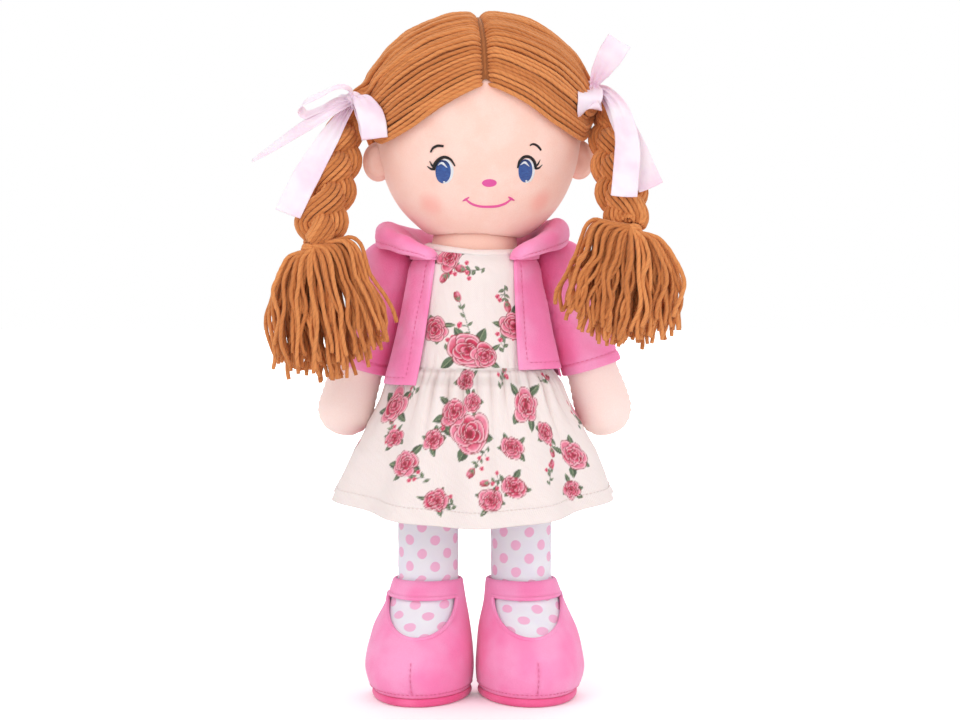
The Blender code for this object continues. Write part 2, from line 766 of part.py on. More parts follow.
def make_collar(doll):
    """A rolled collar that leans out over the shoulders: full at the front, thin at the nape."""
    steps = 22
    path = curve_through(collar_path(), steps)
    rings = []
    for i, foot in enumerate(path):
        share = min(i, steps - i) / steps
        thick = COLLAR_THICKNESS / 2 * smooth(share, COLLAR_PLACE_SHARES, COLLAR_THICKNESS_SHARES)
        tall = COLLAR_HEIGHT / 2 * smooth(share, COLLAR_PLACE_SHARES, COLLAR_HEIGHT_SHARES)
        lean = COLLAR_LEAN * smooth(share, COLLAR_PLACE_SHARES, COLLAR_LEAN_SHARES)
        ahead = path[min(i + 1, steps)] - path[max(i - 1, 0)]
        out = Vector((-ahead.y, ahead.x, 0)).normalized()
        middle = foot + out * lean + Vector((0, 0, JACKET_TOP + GAP + tall))
        ring = []
        for j in range(8):
            angle = 2 * math.pi * j / 8
            sideways = out * (thick * math.cos(angle) + lean * math.sin(angle))
            ring.append(middle + sideways + Vector((0, 0, tall * math.sin(angle))))
        rings.append(ring)
    return add_object("jacket_collar", loft_mesh("jacket_collar", rings), HOT_PINK, doll)


def head_ring(height_angle, offset=0.0):
    """Height and width share of the head's ring at an angle from its widest ring."""
    rising = height_angle >= 0
    fullness = UPPER_FULLNESS if rising else LOWER_FULLNESS
    reach = (CROWN_HEIGHT if rising else FACE_DROP) + offset
    width_share = max(math.cos(height_angle), 0) ** (2 / fullness)
    height = reach * abs(math.sin(height_angle)) ** (2 / fullness)
    return (height if rising else -height), width_share


def head_point(azimuth, height_angle, offset=0.0):
    """A point on the head or a distance outside it, in the head's frame, which starts at the neck's pivot.

    The azimuth runs from the front of the face towards +X."""
    height, share = head_ring(height_angle, offset)
    return Vector(
        (
            (HEAD_HALF_WIDTH + offset) * share * math.sin(azimuth),
            -(HEAD_HALF_DEPTH + offset) * share * math.cos(azimuth),
            HEAD_MIDDLE + height,
        )
    )


def height_angle_at(height):
    """The angle of the head's ring at a height in the head's frame."""
    rise = height - HEAD_MIDDLE
    reach, fullness = (CROWN_HEIGHT, UPPER_FULLNESS) if rise >= 0 else (FACE_DROP, LOWER_FULLNESS)
    share = min(abs(rise) / reach, 1)
    return math.copysign(math.asin(share ** (fullness / 2)), rise)


def face_point(x, height, offset):
    """The point of the face, or a distance before it, at a place seen from the front."""
    share = head_ring(height_angle_at(height))[1]
    width = (HEAD_HALF_WIDTH + offset) * share
    depth = (HEAD_HALF_DEPTH + offset) * share
    return Vector((x, -depth * math.sqrt(max(1 - (x / width) ** 2, 0)), height))


def make_head(name, head_frame, offset=0.0):
    """The stuffed head, or its form a distance larger."""
    rings = [[head_point(0, -math.pi / 2, offset)]]
    rows = 18
    for i in range(1, rows):
        angle = math.pi * (i / rows - 1 / 2)
        rings.append(
            [head_point(2 * math.pi * j / ROUND_STEPS, angle, offset) for j in range(ROUND_STEPS)]
        )
    rings.append([head_point(0, math.pi / 2, offset)])
    return add_object(name, loft_mesh(name, rings), SKIN, head_frame, False)


def make_ear(name, side, head_frame, head_cutter):
    """A small flat ear whose root is cut to the head."""
    height = HEAD_MIDDLE - EAR_DROP
    share = head_ring(height_angle_at(height))[1]
    body = bmesh.new()
    scale = Matrix.Diagonal((EAR_REACH, EAR_HALF_DEPTH, EAR_HALF_HEIGHT, 1))
    centre = Matrix.Translation((side * HEAD_HALF_WIDTH * share, 0, height))
    bmesh.ops.create_uvsphere(body, u_segments=14, v_segments=8, radius=1, matrix=centre @ scale)
    ear = add_object("ear_" + name, mesh_of("ear_" + name, body), SKIN, head_frame, False)
    cut(ear, head_cutter)


def face_patch(name, outline, finish, head_frame):
    """A flat of embroidery that follows the face, from an outline seen from the front."""
    body = bmesh.new()
    layers = []
    for offset in (GAP + STITCH_THICKNESS, GAP):
        layers.append([body.verts.new(face_point(x, z, offset)) for x, z in outline])
    middle_x = sum(x for x, z in outline) / len(outline)
    middle_z = sum(z for x, z in outline) / len(outline)
    hubs = [
        body.verts.new(face_point(middle_x, middle_z, offset))
        for offset in (GAP + STITCH_THICKNESS, GAP)
    ]
    count = len(outline)
    for i in range(count):
        j = (i + 1) % count
        body.faces.new((layers[0][i], layers[0][j], hubs[0]))
        body.faces.new((layers[1][j], layers[1][i], hubs[1]))
        body.faces.new((layers[0][i], layers[0][j], layers[1][j], layers[1][i]))
    return add_object(name, mesh_of(name, body), finish, head_frame, False)


def face_stroke(name, line, widths, finish, head_frame):
    """A line of stitches that follows the face, from points seen from the front."""
    outer, inner = [], []
    for i, (x, z) in enumerate(line):
        before, after = line[max(i - 1, 0)], line[min(i + 1, len(line) - 1)]
        along = Vector((after[0] - before[0], after[1] - before[1])).normalized()
        side = Vector((-along.y, along.x)) * widths[i] / 2
        for rows, offset in ((outer, GAP + STITCH_THICKNESS), (inner, GAP)):
            rows.append(
                [
                    face_point(x + side.x, z + side.y, offset),
                    face_point(x - side.x, z - side.y, offset),
                ]
            )
    return add_object(name, shell_mesh(name, outer, inner), finish, head_frame, False)


def oval(x, z, half_width, half_height, steps=16):
    return [
        (
            x + half_width * math.cos(2 * math.pi * i / steps),
            z + half_height * math.sin(2 * math.pi * i / steps),
        )
        for i in range(steps)
    ]


def arc(x, z, half_width, sag, steps=10):
    """A shallow bow between two ends, sagging in the middle, or rising if sag is negative."""
    line = []
    for i in range(steps + 1):
        share = 2 * i / steps - 1
        line.append((x + half_width * share, z - sag * (1 - share**2)))
    return line


def make_face(head_frame):
    for name, side in SIDES:
        eye_x = side * EYE_SPACING / 2
        eye_z = CHIN + EYE_RISE
        iris = oval(eye_x, eye_z, IRIS_HALF_WIDTH, IRIS_HALF_HEIGHT)
        face_patch("iris_" + name, iris, IRIS_THREAD, head_frame)
        lid_half_width = IRIS_HALF_WIDTH + LID_WIDTH
        lid_end = eye_z + IRIS_HALF_HEIGHT + GAP
        line = arc(eye_x, lid_end, lid_half_width, -2 * LID_WIDTH)
        if side < 0:
            line.reverse()
        tip = line[-1]
        line.append((tip[0] + side * LASH_LENGTH, tip[1] + LASH_LENGTH / 3))
        widths = [LID_WIDTH * (0.5 + 0.5 * math.sin(math.pi * i / len(line))) for i in range(len(line))]
        face_stroke("lid_" + name, line, widths, BLACK_THREAD, head_frame)
        brow = arc(side * BROW_SPACING / 2, CHIN + BROW_RISE, BROW_LENGTH / 2, -BROW_LENGTH / 6, 6)
        face_stroke("brow_" + name, brow, [BROW_WIDTH] * len(brow), BLACK_THREAD, head_frame)
    nose = oval(0, CHIN + NOSE_RISE, NOSE_HALF_WIDTH, NOSE_HALF_HEIGHT, 12)
    face_patch("nose", nose, PINK_THREAD, head_frame)
    mouth = arc(0, CHIN + MOUTH_RISE, MOUTH_HALF_WIDTH, MOUTH_SAG, 14)
    face_stroke("mouth", mouth, [MOUTH_WIDTH] * len(mouth), PINK_THREAD, head_frame)


def hair_columns(side):
    step = 2 * math.pi / ROUND_STEPS
    return [side * i * step for i in range(ROUND_STEPS // 2 + 1)]


def make_hair_half(name, side, head_frame):
    """Yarn laid from the parting over half of the head, down to the hair edge."""
    rows = 10
    outer, inner = [], []
    whole = FACE_DROP + CROWN_HEIGHT
    for i in range(rows + 1):
        out_row, in_row = [], []
        for azimuth in hair_columns(side):
            degrees = abs(math.degrees(azimuth))
            edge = CHIN + whole * smooth(degrees, HAIRLINE_AZIMUTHS, HAIRLINE_HEIGHT_SHARES)
            low = height_angle_at(edge)
            angle = low + (math.pi / 2 - low) * i / rows
            part = Vector((side * PARTING_WIDTH / 2, 0, 0))
            thin = HAIR_THINNING * math.cos(angle) * (1 - min(abs(math.sin(azimuth)) * 2, 1))
            swell = SHELL_GAP + HAIR_THICKNESS * (1 - thin)
            for row, offset in ((out_row, swell), (in_row, SHELL_GAP)):
                point = head_point(azimuth, angle, offset)
                row.append(parted(point, side, part))
        outer.append(out_row)
        inner.append(in_row)
    mesh = shell_mesh("hair_" + name, outer, inner)
    add_object("hair_" + name, mesh, YARN, head_frame, False)


def parted(point, side, part):
    """Keep a point on its own side of the parting seam."""
    return Vector((side * max(abs(point.x), abs(part.x) + GAP), point.y, point.z))


def make_parting_seam(head_frame):
    """The stitched tape between the halves, over the crown from the hair edge to the nape."""
    whole = FACE_DROP + CROWN_HEIGHT
    front = height_angle_at(CHIN + whole * HAIRLINE_HEIGHT_SHARES[0])
    back = height_angle_at(CHIN + whole * HAIRLINE_HEIGHT_SHARES[-1])
    steps = 24
    outer, inner = [], []
    for i in range(steps + 1):
        angle = front + (math.pi - back - front) * i / steps
        azimuth, height_angle = (0, angle) if angle <= math.pi / 2 else (math.pi, math.pi - angle)
        for rows, offset in ((outer, SHELL_GAP + HAIR_THICKNESS / 2), (inner, SHELL_GAP)):
            point = head_point(azimuth, height_angle, offset)
            half = PARTING_WIDTH / 2
            rows.append([Vector((half, point.y, point.z)), Vector((-half, point.y, point.z))])
    mesh = shell_mesh("parting_seam", outer, inner)
    add_object("parting_seam", mesh, YARN, head_frame, False)


def braid_root(side, head_matrix):
    """Where a braid leaves the hair, in the world."""
    out = HEAD_HALF_WIDTH + SHELL_GAP + HAIR_THICKNESS + BRAID_ROOT_OUT
    return head_matrix @ Vector((side * out, 0, HEAD_MIDDLE + BRAID_ROOT_RISE))


def braid_line(side, root, drop, spread, forward):
    """The braid's middle line: out from the head, then down and forward to the wrap."""
    step_shares = ((0, 0, 0), (0.16, 0.14, 0.20), (0.40, 0.42, 0.45), (0.66, 0.72, 0.72), (1, 1, 1))
    reach = Vector((side * spread, -forward, -drop))
    return [root + Vector((reach.x * x, reach.y * y, reach.z * z)) for x, y, z in step_shares]


def braid_frames(line):
    """Sideways and forward directions along the braid, square to it."""
    frames = []
    for i in range(len(line)):
        along = (line[min(i + 1, len(line) - 1)] - line[max(i - 1, 0)]).normalized()
        forward = Vector((0, 1, 0)).cross(along).normalized()
        across = forward
        depth = along.cross(across).normalized()
        frames.append((across, depth, along))
    return frames


def plait_centres(length, share):
    """Sideways and forward places of the three bundles: side to side once, over and under twice."""
    centres = []
    for strand in range(3):
        phase = 2 * math.pi * (length / PLAIT_PITCH + strand / 3)
        aside, ahead = PLAIT_SWING * math.sin(phase), PLAIT_WEAVE * math.sin(2 * phase)
        centres.append(Vector((aside, ahead)) * share)
    return centres


def bundle_section(centres, strand, share):
    """A bundle's outline: as full as yarn lies by itself, pressed flat where it meets the other two."""
    outline = []
    for i in range(BUNDLE_STEPS):
        angle = 2 * math.pi * i / BUNDLE_STEPS
        spoke = Vector((math.cos(angle), math.sin(angle)))
        wide, deep = spoke.x / (BUNDLE_HALF_WIDTH * share), spoke.y / (BUNDLE_HALF_DEPTH * share)
        reach = 1 / math.hypot(wide, deep)
        for other in range(3):
            apart = centres[other] - centres[strand]
            towards = spoke.dot(apart.normalized())
            if other != strand and towards > 0:
                reach = min(reach, (apart.length / 2 - BUNDLE_GAP) / towards)
        outline.append(centres[strand] + spoke * reach)
    return outline


def turned(across, depth, angle):
    """The two ways across a braid, turned about it."""
    return (
        across * math.cos(angle) + depth * math.sin(angle),
        depth * math.cos(angle) - across * math.sin(angle),
    )


def make_braid(name, side, root, reach, tassel, bow, swing):
    """Three bundles of yarn in a true plait, turned about itself, that thins towards its two ends."""
    line = curve_through(braid_line(side, root, *reach), BUNDLE_RINGS)
    lengths = [0.0]
    for a, b in zip(line, line[1:]):
        lengths.append(lengths[-1] + (b - a).length)
    frames = braid_frames(line)
    wrap_share = WRAP_RADIUS / (PLAIT_SWING + BUNDLE_HALF_WIDTH)
    place_shares = (0, 0.10, 0.32, 0.60, 0.86, 1)
    width_shares = (ROOT_SHARE, ROOT_SHARE, 0.84, 0.97, 1, wrap_share)
    bundles = [[], [], []]
    root_reach = 0.0
    for i, (across, depth, along) in enumerate(frames):
        wide, deep = turned(across, depth, -side * PLAIT_TURN_ANGLE)
        share = smooth(lengths[i] / lengths[-1], place_shares, width_shares)
        centres = plait_centres(lengths[i], share)
        for strand in range(3):
            section = bundle_section(centres, strand, share)
            bundles[strand].append([line[i] + wide * p.x + deep * p.y for p in section])
            if lengths[i] < KNOT_RADIUS + PLAIT_SWING:
                root_reach = max(root_reach, *[p.length for p in section])
    for letter, rings in zip("abc", bundles):
        node = "braid_" + name + "_" + letter
        add_object(node, loft_mesh(node, rings), YARN, swing)
    make_bow(name, line[0], frames[1], root_reach + SHELL_GAP, bow, swing)
    make_wrap(name, line[-1], frames[-1], swing)
    make_tassel(name, side, line[-1], frames[-1], tassel, swing)


def make_wrap(name, end, frame, swing):
    """The yarn wound round the end of the braid."""
    across, depth, along = frame
    radius_shares = (0.86, 1, 0.94, 1, 0.86)
    rings = []
    for i, share in enumerate(radius_shares):
        centre = end + along * (GAP + WRAP_HEIGHT * i / (len(radius_shares) - 1))
        radius = WRAP_RADIUS * share
        rings.append(
            [
                centre + (across * math.cos(angle) + depth * math.sin(angle)) * radius
                for angle in [2 * math.pi * j / 14 for j in range(14)]
            ]
        )
    add_object("braid_wrap_" + name, loft_mesh("braid_wrap_" + name, rings), YARN, swing)


def make_tassel(name, side, end, frame, reach, swing):
    """The loose ends of the yarn: they dome over below the wrap, then hang and flare."""
    across, depth, along = frame
    length, lean = reach
    top = end + along * (2 * GAP + WRAP_HEIGHT)
    drop_shares = (0, 0.04, 0.12, 0.24, 0.42, 0.62, 0.82, 0.96, 1)
    width_shares = (0.20, 0.34, 0.52, 0.70, 0.86, 0.96, 1, 0.97, 0.85)
    steps = 18
    rings = []
    for drop_share, width_share in zip(drop_shares, width_shares):
        hang = Vector((-side * lean * drop_share, 0, -length * drop_share - WRAP_RADIUS / 3))
        centre = top + hang
        rings.append(
            ellipse(centre, TASSEL_HALF_WIDTH * width_share, TASSEL_HALF_DEPTH * width_share, steps)
        )
    rings[0] = [
        top + (depth * math.cos(angle) - across * math.sin(angle)) * WRAP_RADIUS / 2
        for angle in [2 * math.pi * j / steps for j in range(steps)]
    ]
    add_object("tassel_" + name, loft_mesh("tassel_" + name, rings), YARN, swing)


def ribbon_strip(name, points, across, widths, steps, swing):
    """A closed strip of ribbon along a smooth line; across is the way its width lies, from end to end."""
    line = curve_through(points, steps)
    ways = [Vector(way).normalized() for way in across]
    rings = []
    for i, centre in enumerate(line):
        along = (line[min(i + 1, steps)] - line[max(i - 1, 0)]).normalized()
        normal = along.cross(between(ways, i / steps)).normalized()
        wide = normal.cross(along).normalized() * between(widths, i / steps)
        thick = normal * RIBBON_THICKNESS / 2
        rings.append(
            [centre + wide + thick, centre - wide + thick, centre - wide - thick, centre + wide - thick]
        )
    return add_object(name, loft_mesh(name, rings), SATIN, swing)


def make_bow(name, root, frame, inside, bow, swing):
    """A tied ribbon in one piece: the band round the braid's root, knot, loops and tails."""
    across, depth, along = frame
    outer, inner = [], []
    for drop in (0, KNOT_RADIUS):
        for rows, wall in ((outer, RIBBON_THICKNESS), (inner, 0)):
            ring = []
            for i in range(LIMB_STEPS):
                angle = 2 * math.pi * i / LIMB_STEPS
                spoke = across * math.cos(angle) + depth * math.sin(angle)
                ring.append(root + along * drop + spoke * (inside + wall))
            rows.append(ring)
    band = shell_mesh("ribbon_" + name, outer, inner, closed_round=True)
    ribbon = add_object("ribbon_" + name, band, SATIN, swing)
    forward = inside + RIBBON_THICKNESS / 2 + KNOT_HALF_DEPTH
    knot = root + along * KNOT_RADIUS / 2 - depth * forward
    body = bmesh.new()
    size = Matrix.Diagonal((KNOT_RADIUS, KNOT_HALF_DEPTH, KNOT_RADIUS, 1))
    place = Matrix.Translation(knot) @ size
    bmesh.ops.create_uvsphere(body, u_segments=10, v_segments=6, radius=1, matrix=place)
    join(ribbon, add_object("knot_" + name, mesh_of("knot_" + name, body), SATIN, swing))
    loops, tails = bow
    half = RIBBON_WIDTH / 2
    for i, (shares, way) in enumerate(loops):
        points = [knot + Vector(share) * RIBBON_LOOP_LENGTH for share in shares]
        widths = [half * share for share in LOOP_WIDTH_SHARES]
        loop = ribbon_strip("loop_" + name + "_" + str(i), points, [way, way], widths, 11, swing)
        join(ribbon, loop)
    for i, (shares, ways) in enumerate(tails):
        points = [knot + Vector(share) * RIBBON_TAIL_LENGTH for share in shares]
        widths = [half * share for share in TAIL_WIDTH_SHARES]
        join(ribbon, ribbon_strip("tail_" + name + "_" + str(i), points, ways, widths, 6, swing))


def shoe_ring(side, height, offset):
    """A ring of the shoe, or a distance inside it, with the toes turned out."""
    share = (height - SHOE_BOTTOM) / (SHOE_HEIGHT - SHOE_BOTTOM)
    leg = ANKLE_RADIUS + SHELL_GAP + SHOE_WALL
    half_width, front, back = (
        leg + (reach - leg) * smooth(share, SHOE_LEVEL_SHARES, shares) - offset
        for reach, shares in (
            (SHOE_HALF_WIDTH, SHOE_WIDTH_SHARES),
            (TOE_LENGTH, SHOE_TOE_SHARES),
            (HEEL_LENGTH, SHOE_HEEL_SHARES),
        )
    )
    spread = (SHOE_SPACING - HIP_SPACING) / 2 * smooth(share, SHOE_LEVEL_SHARES, SHOE_WIDTH_SHARES)
    turn = Matrix.Rotation(side * TOE_OUT_ANGLE, 3, "Z")
    centre = Vector((side * (HIP_SPACING / 2 + spread), 0, height))
    ring = []
    for i in range(FOOT_STEPS):
        angle = 2 * math.pi * i / FOOT_STEPS
        reach = back if math.cos(angle) > 0 else front
        ring.append(centre + turn @ Vector((half_width * math.sin(angle), reach * math.cos(angle), 0)))
    return ring


def shoe_floor(side, height):
    """The middle of the shoe's bottom, at a height."""
    return [Vector((side * SHOE_SPACING / 2, 0, height))] * FOOT_STEPS


def cavity_levels(lowest):
    """Heights of the rings inside the shoe, from its floor to its top edge."""
    floor = SHOE_BOTTOM + SHOE_WALL
    levels = [floor + (SHOE_HEIGHT - floor) * share for share in SHOE_LEVEL_SHARES]
    return [floor + lowest, *levels[1:]]


def make_shoe(name, side, hip):
    """The upper: a velour shell with a floor, open for the leg and over the instep."""
    heights = [SHOE_BOTTOM + (SHOE_HEIGHT - SHOE_BOTTOM) * share for share in SHOE_LEVEL_SHARES]
    outer = [shoe_floor(side, SHOE_BOTTOM), *[shoe_ring(side, z, 0) for z in heights]]
    inner = [shoe_floor(side, SHOE_BOTTOM + SHOE_WALL)]
    inner += [shoe_ring(side, z, SHOE_WALL) for z in cavity_levels(0)]
    mesh = shell_mesh("shoe_" + name, outer, inner, closed_round=True)
    shoe = add_object("shoe_" + name, mesh, HOT_PINK, hip)
    cut(shoe, vamp_cutter(name, side, hip))


def vamp_cutter(name, side, hip):
    """The opening over the instep: a straight strap edge above a round vamp edge."""
    steps = 14
    outline = []
    for i in range(steps + 1):
        angle = math.pi * i / steps
        height = (VAMP_TOP - VAMP_BOTTOM) * math.sin(angle) ** 0.7
        outline.append((VAMP_HALF_WIDTH * math.cos(angle), VAMP_TOP - height))
    turn = Matrix.Rotation(side * TOE_OUT_ANGLE, 3, "Z")
    middle = Vector((side * (HIP_SPACING + SHOE_SPACING) / 4, 0, 0))
    rings = []
    for y in (-2 * TOE_LENGTH, -THIGH_RADIUS / 3):
        rings.append([middle + turn @ Vector((x, y, 0)) + Vector((0, 0, z)) for x, z in outline])
    return add_object("vamp_" + name, loft_mesh("vamp_" + name, rings), HOT_PINK, hip)


def make_sole(name, side, hip):
    """A flat sole, a little rounded at its edge."""
    edge_shares = ((0, 0.4), (0.35, 0), (0.8, 0), (1, 0.2))
    rings = []
    for share, inset in edge_shares:
        ring = shoe_ring(side, SHOE_BOTTOM, inset * SOLE_THICKNESS - GAP)
        rings.append([Vector((p.x, p.y, SOLE_THICKNESS * share)) for p in ring])
    add_object("sole_" + name, loft_mesh("sole_" + name, rings), DEEP_PINK, hip)


def make_leg(name, side, hip):
    """A leg in its tights: the foot fills the shoe, and the round top meets the torso."""
    inside = SHOE_WALL + SHELL_GAP
    heights = cavity_levels(GAP)
    rings = [shoe_ring(side, z, inside) for z in heights]
    centre = Vector((side * HIP_SPACING / 2, 0, 0))
    steps = 4
    for i in range(1, steps + 1):
        z = SHOE_HEIGHT + (HIP_HEIGHT - SHOE_HEIGHT) * i / steps
        radius = ANKLE_RADIUS + (THIGH_RADIUS - ANKLE_RADIUS) * i / steps
        rings.append(ellipse(centre + Vector((0, 0, z)), radius, radius, FOOT_STEPS))
    top_rings = 5
    for i in range(1, top_rings):
        angle = math.pi / 2 * i / top_rings
        z = HIP_HEIGHT + THIGH_RADIUS * math.sin(angle)
        radius = THIGH_RADIUS * math.cos(angle)
        rings.append(ellipse(centre + Vector((0, 0, z)), radius, radius, FOOT_STEPS))
    rings.append([centre + Vector((0, 0, HIP_HEIGHT + THIGH_RADIUS))])
    add_object("leg_" + name, loft_mesh("leg_" + name, rings), TIGHTS, hip)


def make_body(doll):
    """Torso, dress and jacket, with the room that the arms need cut from each."""
    pieces = [make_torso(doll), make_bodice(doll), *make_jacket(doll)]
    collar = make_collar(doll)
    make_neck_binding(doll)
    make_skirt(doll)
    for name, side in SIDES:
        room = arm_clearance("arm_room_" + name, side, doll)
        for piece in pieces:
            cut(piece, room)
        cut(collar, ball("shoulder_room_" + name, shoulder(side), SHOULDER_SOCKET_RADIUS, doll))


def make_arms(doll):
    for name, side in SIDES:
        swing = pivot("shoulder_swing_" + name, shoulder(side), doll)
        lift = pivot("arm_raise_" + name, shoulder(side), swing)
        make_arm_tab(name, side, swing)
        make_arm(name, side, lift)
        make_sleeve(name, side, lift)


def make_legs(doll):
    for name, side in SIDES:
        hip = pivot("hip_" + name, Vector((side * HIP_SPACING / 2, 0, HIP_HEIGHT)), doll)
        make_leg(name, side, hip)
        make_shoe(name, side, hip)
        make_sole(name, side, hip)


def make_head_and_hair(doll):
    turn = pivot("head_turn", NECK_PIVOT, doll)
    make_neck(turn)
    look = Matrix.Rotation(HEAD_TURN_ANGLE, 4, "Z") @ Matrix.Rotation(HEAD_TILT_ANGLE, 4, "Y")
    nod = pivot("head_nod", NECK_PIVOT, turn, look)
    head_frame = pivot("head_place", nod.matrix_world @ Vector((HEAD_ASIDE, 0, 0)), nod, look)
    head = make_head("head", head_frame)
    cut(head, ball("neck_room", NECK_PIVOT, NECK_RADIUS + SOCKET_GAP, doll))
    grown = make_head("grown_head", head_frame, GAP)
    make_face(head_frame)
    make_parting_seam(head_frame)
    reaches = {
        "left": (LEFT_BRAID_DROP, LEFT_BRAID_SPREAD, LEFT_BRAID_FORWARD),
        "right": (RIGHT_BRAID_DROP, RIGHT_BRAID_SPREAD, RIGHT_BRAID_FORWARD),
    }
    tassels = {
        "left": (LEFT_TASSEL_LENGTH, LEFT_TASSEL_LEAN),
        "right": (RIGHT_TASSEL_LENGTH, RIGHT_TASSEL_LEAN),
    }
    bows = {
        "left": (LEFT_LOOP_SHARES, LEFT_TAIL_SHARES),
        "right": (RIGHT_LOOP_SHARES, RIGHT_TAIL_SHARES),
    }
    for name, side in SIDES:
        make_ear(name, side, head_frame, grown)
        make_hair_half(name, side, head_frame)
        root = braid_root(side, head_frame.matrix_world)
        swing = pivot("braid_swing_" + name, root, nod)
        make_braid(name, side, root, reaches[name], tassels[name], bows[name], swing)


def centre_on_origin(doll):
    """Stand the middle of the whole doll's outline over the origin."""
    bpy.context.view_layer.update()
    seen = bpy.context.evaluated_depsgraph_get()
    corners = []
    for piece in bpy.context.scene.objects:
        if piece.type == "MESH" and not piece.hide_render:
            shape = piece.evaluated_get(seen)
            corners += [shape.matrix_world @ vertex.co for vertex in shape.data.vertices]
    middle_x = (min(p.x for p in corners) + max(p.x for p in corners)) / 2
    middle_y = (min(p.y for p in corners) + max(p.y for p in corners)) / 2
    doll.location = (-middle_x, -middle_y, 0)
    bpy.context.view_layer.update()


def print_joints():
    """The places of the joints, for whoever assembles the doll."""
    for empty in bpy.context.scene.objects:
        if empty.type == "EMPTY":
            print(empty.name, [round(value, 5) for value in empty.matrix_world.translation])


def main():
    clear_scene()
    doll = pivot("doll", Vector((0, 0, 0)), None)
    make_body(doll)
    make_arms(doll)
    make_legs(doll)
    make_head_and_hair(doll)
    centre_on_origin(doll)
    print_joints()


main()
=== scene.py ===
"""Looks for the rag doll: cloth, yarn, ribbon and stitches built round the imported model."""
import json
import math

import bmesh
import bpy
import numpy as np
from mathutils import Matrix, Vector


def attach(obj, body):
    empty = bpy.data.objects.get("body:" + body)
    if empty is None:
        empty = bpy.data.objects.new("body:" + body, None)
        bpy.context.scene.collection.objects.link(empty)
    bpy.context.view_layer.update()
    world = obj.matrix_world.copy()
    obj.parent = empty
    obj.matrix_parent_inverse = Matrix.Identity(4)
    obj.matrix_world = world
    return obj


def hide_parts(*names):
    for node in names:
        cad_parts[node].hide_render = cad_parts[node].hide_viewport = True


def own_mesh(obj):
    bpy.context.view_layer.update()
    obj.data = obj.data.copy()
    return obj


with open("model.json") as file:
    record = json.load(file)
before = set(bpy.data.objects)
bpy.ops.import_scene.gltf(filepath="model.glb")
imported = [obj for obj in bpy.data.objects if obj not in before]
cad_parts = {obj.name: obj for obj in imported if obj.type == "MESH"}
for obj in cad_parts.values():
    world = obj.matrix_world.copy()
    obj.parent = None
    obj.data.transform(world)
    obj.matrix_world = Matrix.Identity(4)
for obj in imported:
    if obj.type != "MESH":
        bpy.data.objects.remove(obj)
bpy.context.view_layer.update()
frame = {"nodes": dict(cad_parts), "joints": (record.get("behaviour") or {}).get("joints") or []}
joints = {joint["name"]: np.array(joint["pos_m"], float) for joint in frame["joints"]}
NECK_PLACE = joints["head_turn"]
MIDDLE = np.array([NECK_PLACE[0], NECK_PLACE[1], 0.0])
MM = 0.001
PI = math.pi
SIDES = (("left", -1), ("right", 1))

# Sizes repeated from the part, in metres
GAP, SHELL_GAP = 0.0003, 0.0006
HIP_HEIGHT, HIP_SPACING, THIGH_RADIUS, ANKLE_RADIUS = 0.146, 0.0546, 0.0182, 0.0176
SHOE_BOTTOM, SHOE_HEIGHT, SHOE_HALF_WIDTH, TOE_LENGTH, HEEL_LENGTH = 0.0053, 0.0690, 0.0319, 0.052, 0.029
SHOE_SPACING, SHOE_WALL, TOE_OUT = 0.0646, 0.0022, math.radians(5)
VAMP_HALF_WIDTH, VAMP_TOP, VAMP_BOTTOM = 0.0205, 0.0600, 0.0385
SHOE_LEVELS = (0, 0.07, 0.20, 0.36, 0.50, 0.64, 0.80, 1)
SHOE_WIDTHS = (0.70, 0.90, 1, 0.93, 0.77, 0.55, 0.27, 0)
SHOE_TOES = (0.86, 0.96, 1, 0.92, 0.72, 0.46, 0.17, 0)
SHOE_HEELS = (0.58, 0.86, 1, 0.98, 0.82, 0.56, 0.25, 0)
TORSO_HEIGHT, HIP_HALF_WIDTH, HIP_HALF_DEPTH, WAIST_RISE = 0.094, 0.044, 0.033, 0.030
TORSO_BOTTOM = HIP_HEIGHT + THIGH_RADIUS + GAP
TORSO_TOP = TORSO_BOTTOM + TORSO_HEIGHT
WAIST = TORSO_BOTTOM + WAIST_RISE
TORSO_LEVELS = (0, 0.035, 0.10, 0.20, 0.32, 0.46, 0.62, 0.78, 0.89, 0.96, 1)
TORSO_WIDTHS = (0.80, 0.91, 0.97, 0.985, 0.945, 0.89, 0.82, 0.79, 0.79, 0.73, 0.63)
TORSO_DEPTHS = (0.78, 0.90, 0.98, 1, 0.98, 0.95, 0.93, 0.92, 0.91, 0.89, 0.86)
NECK_RADIUS = 0.025
SHOULDER_X, SHOULDER_Y, SHOULDER_HEIGHT = 0.051, 0.011, TORSO_TOP - 0.0075
SHOULDER_RADIUS, ARM_LENGTH, ARM_SPREAD = 0.0142, 0.103, math.radians(16.7)
WRIST_RADIUS, HAND_RADIUS, SLEEVE_LENGTH, SLEEVE_THICKNESS = 0.0152, 0.0168, 0.062, 0.0015
CUFF_THICKNESS = 0.0022
SOCKET_RADIUS = SHOULDER_RADIUS + 3 * GAP + SLEEVE_THICKNESS + 0.001
BODICE_THICKNESS, SKIRT_THICKNESS = 0.0012, 0.001
SKIRT_LENGTH, HEM_HALF_WIDTH, HEM_HALF_DEPTH = 0.089, 0.078, 0.056
FOLD_DEPTH, SIDE_RISE, SKIRT_FOLDS, FLARE_POWER = 0.007, 0.0135, 10, 1.3
JACKET_THICKNESS, JACKET_LENGTH, JACKET_TOP = 0.0025, 0.069, TORSO_TOP - 0.0025
LEFT_FRONT_LENGTH, RIGHT_FRONT_LENGTH = 0.072, 0.063
JACKET_EASE, JACKET_FLARE, JACKET_OPENING = 0.0008, 0.0028, 0.0205
LEFT_HEM_OPENING, RIGHT_HEM_OPENING = 0.0290, 0.0225
CHIN, FACE_DROP, CROWN_HEIGHT = 0.0035, 0.079, 0.0495
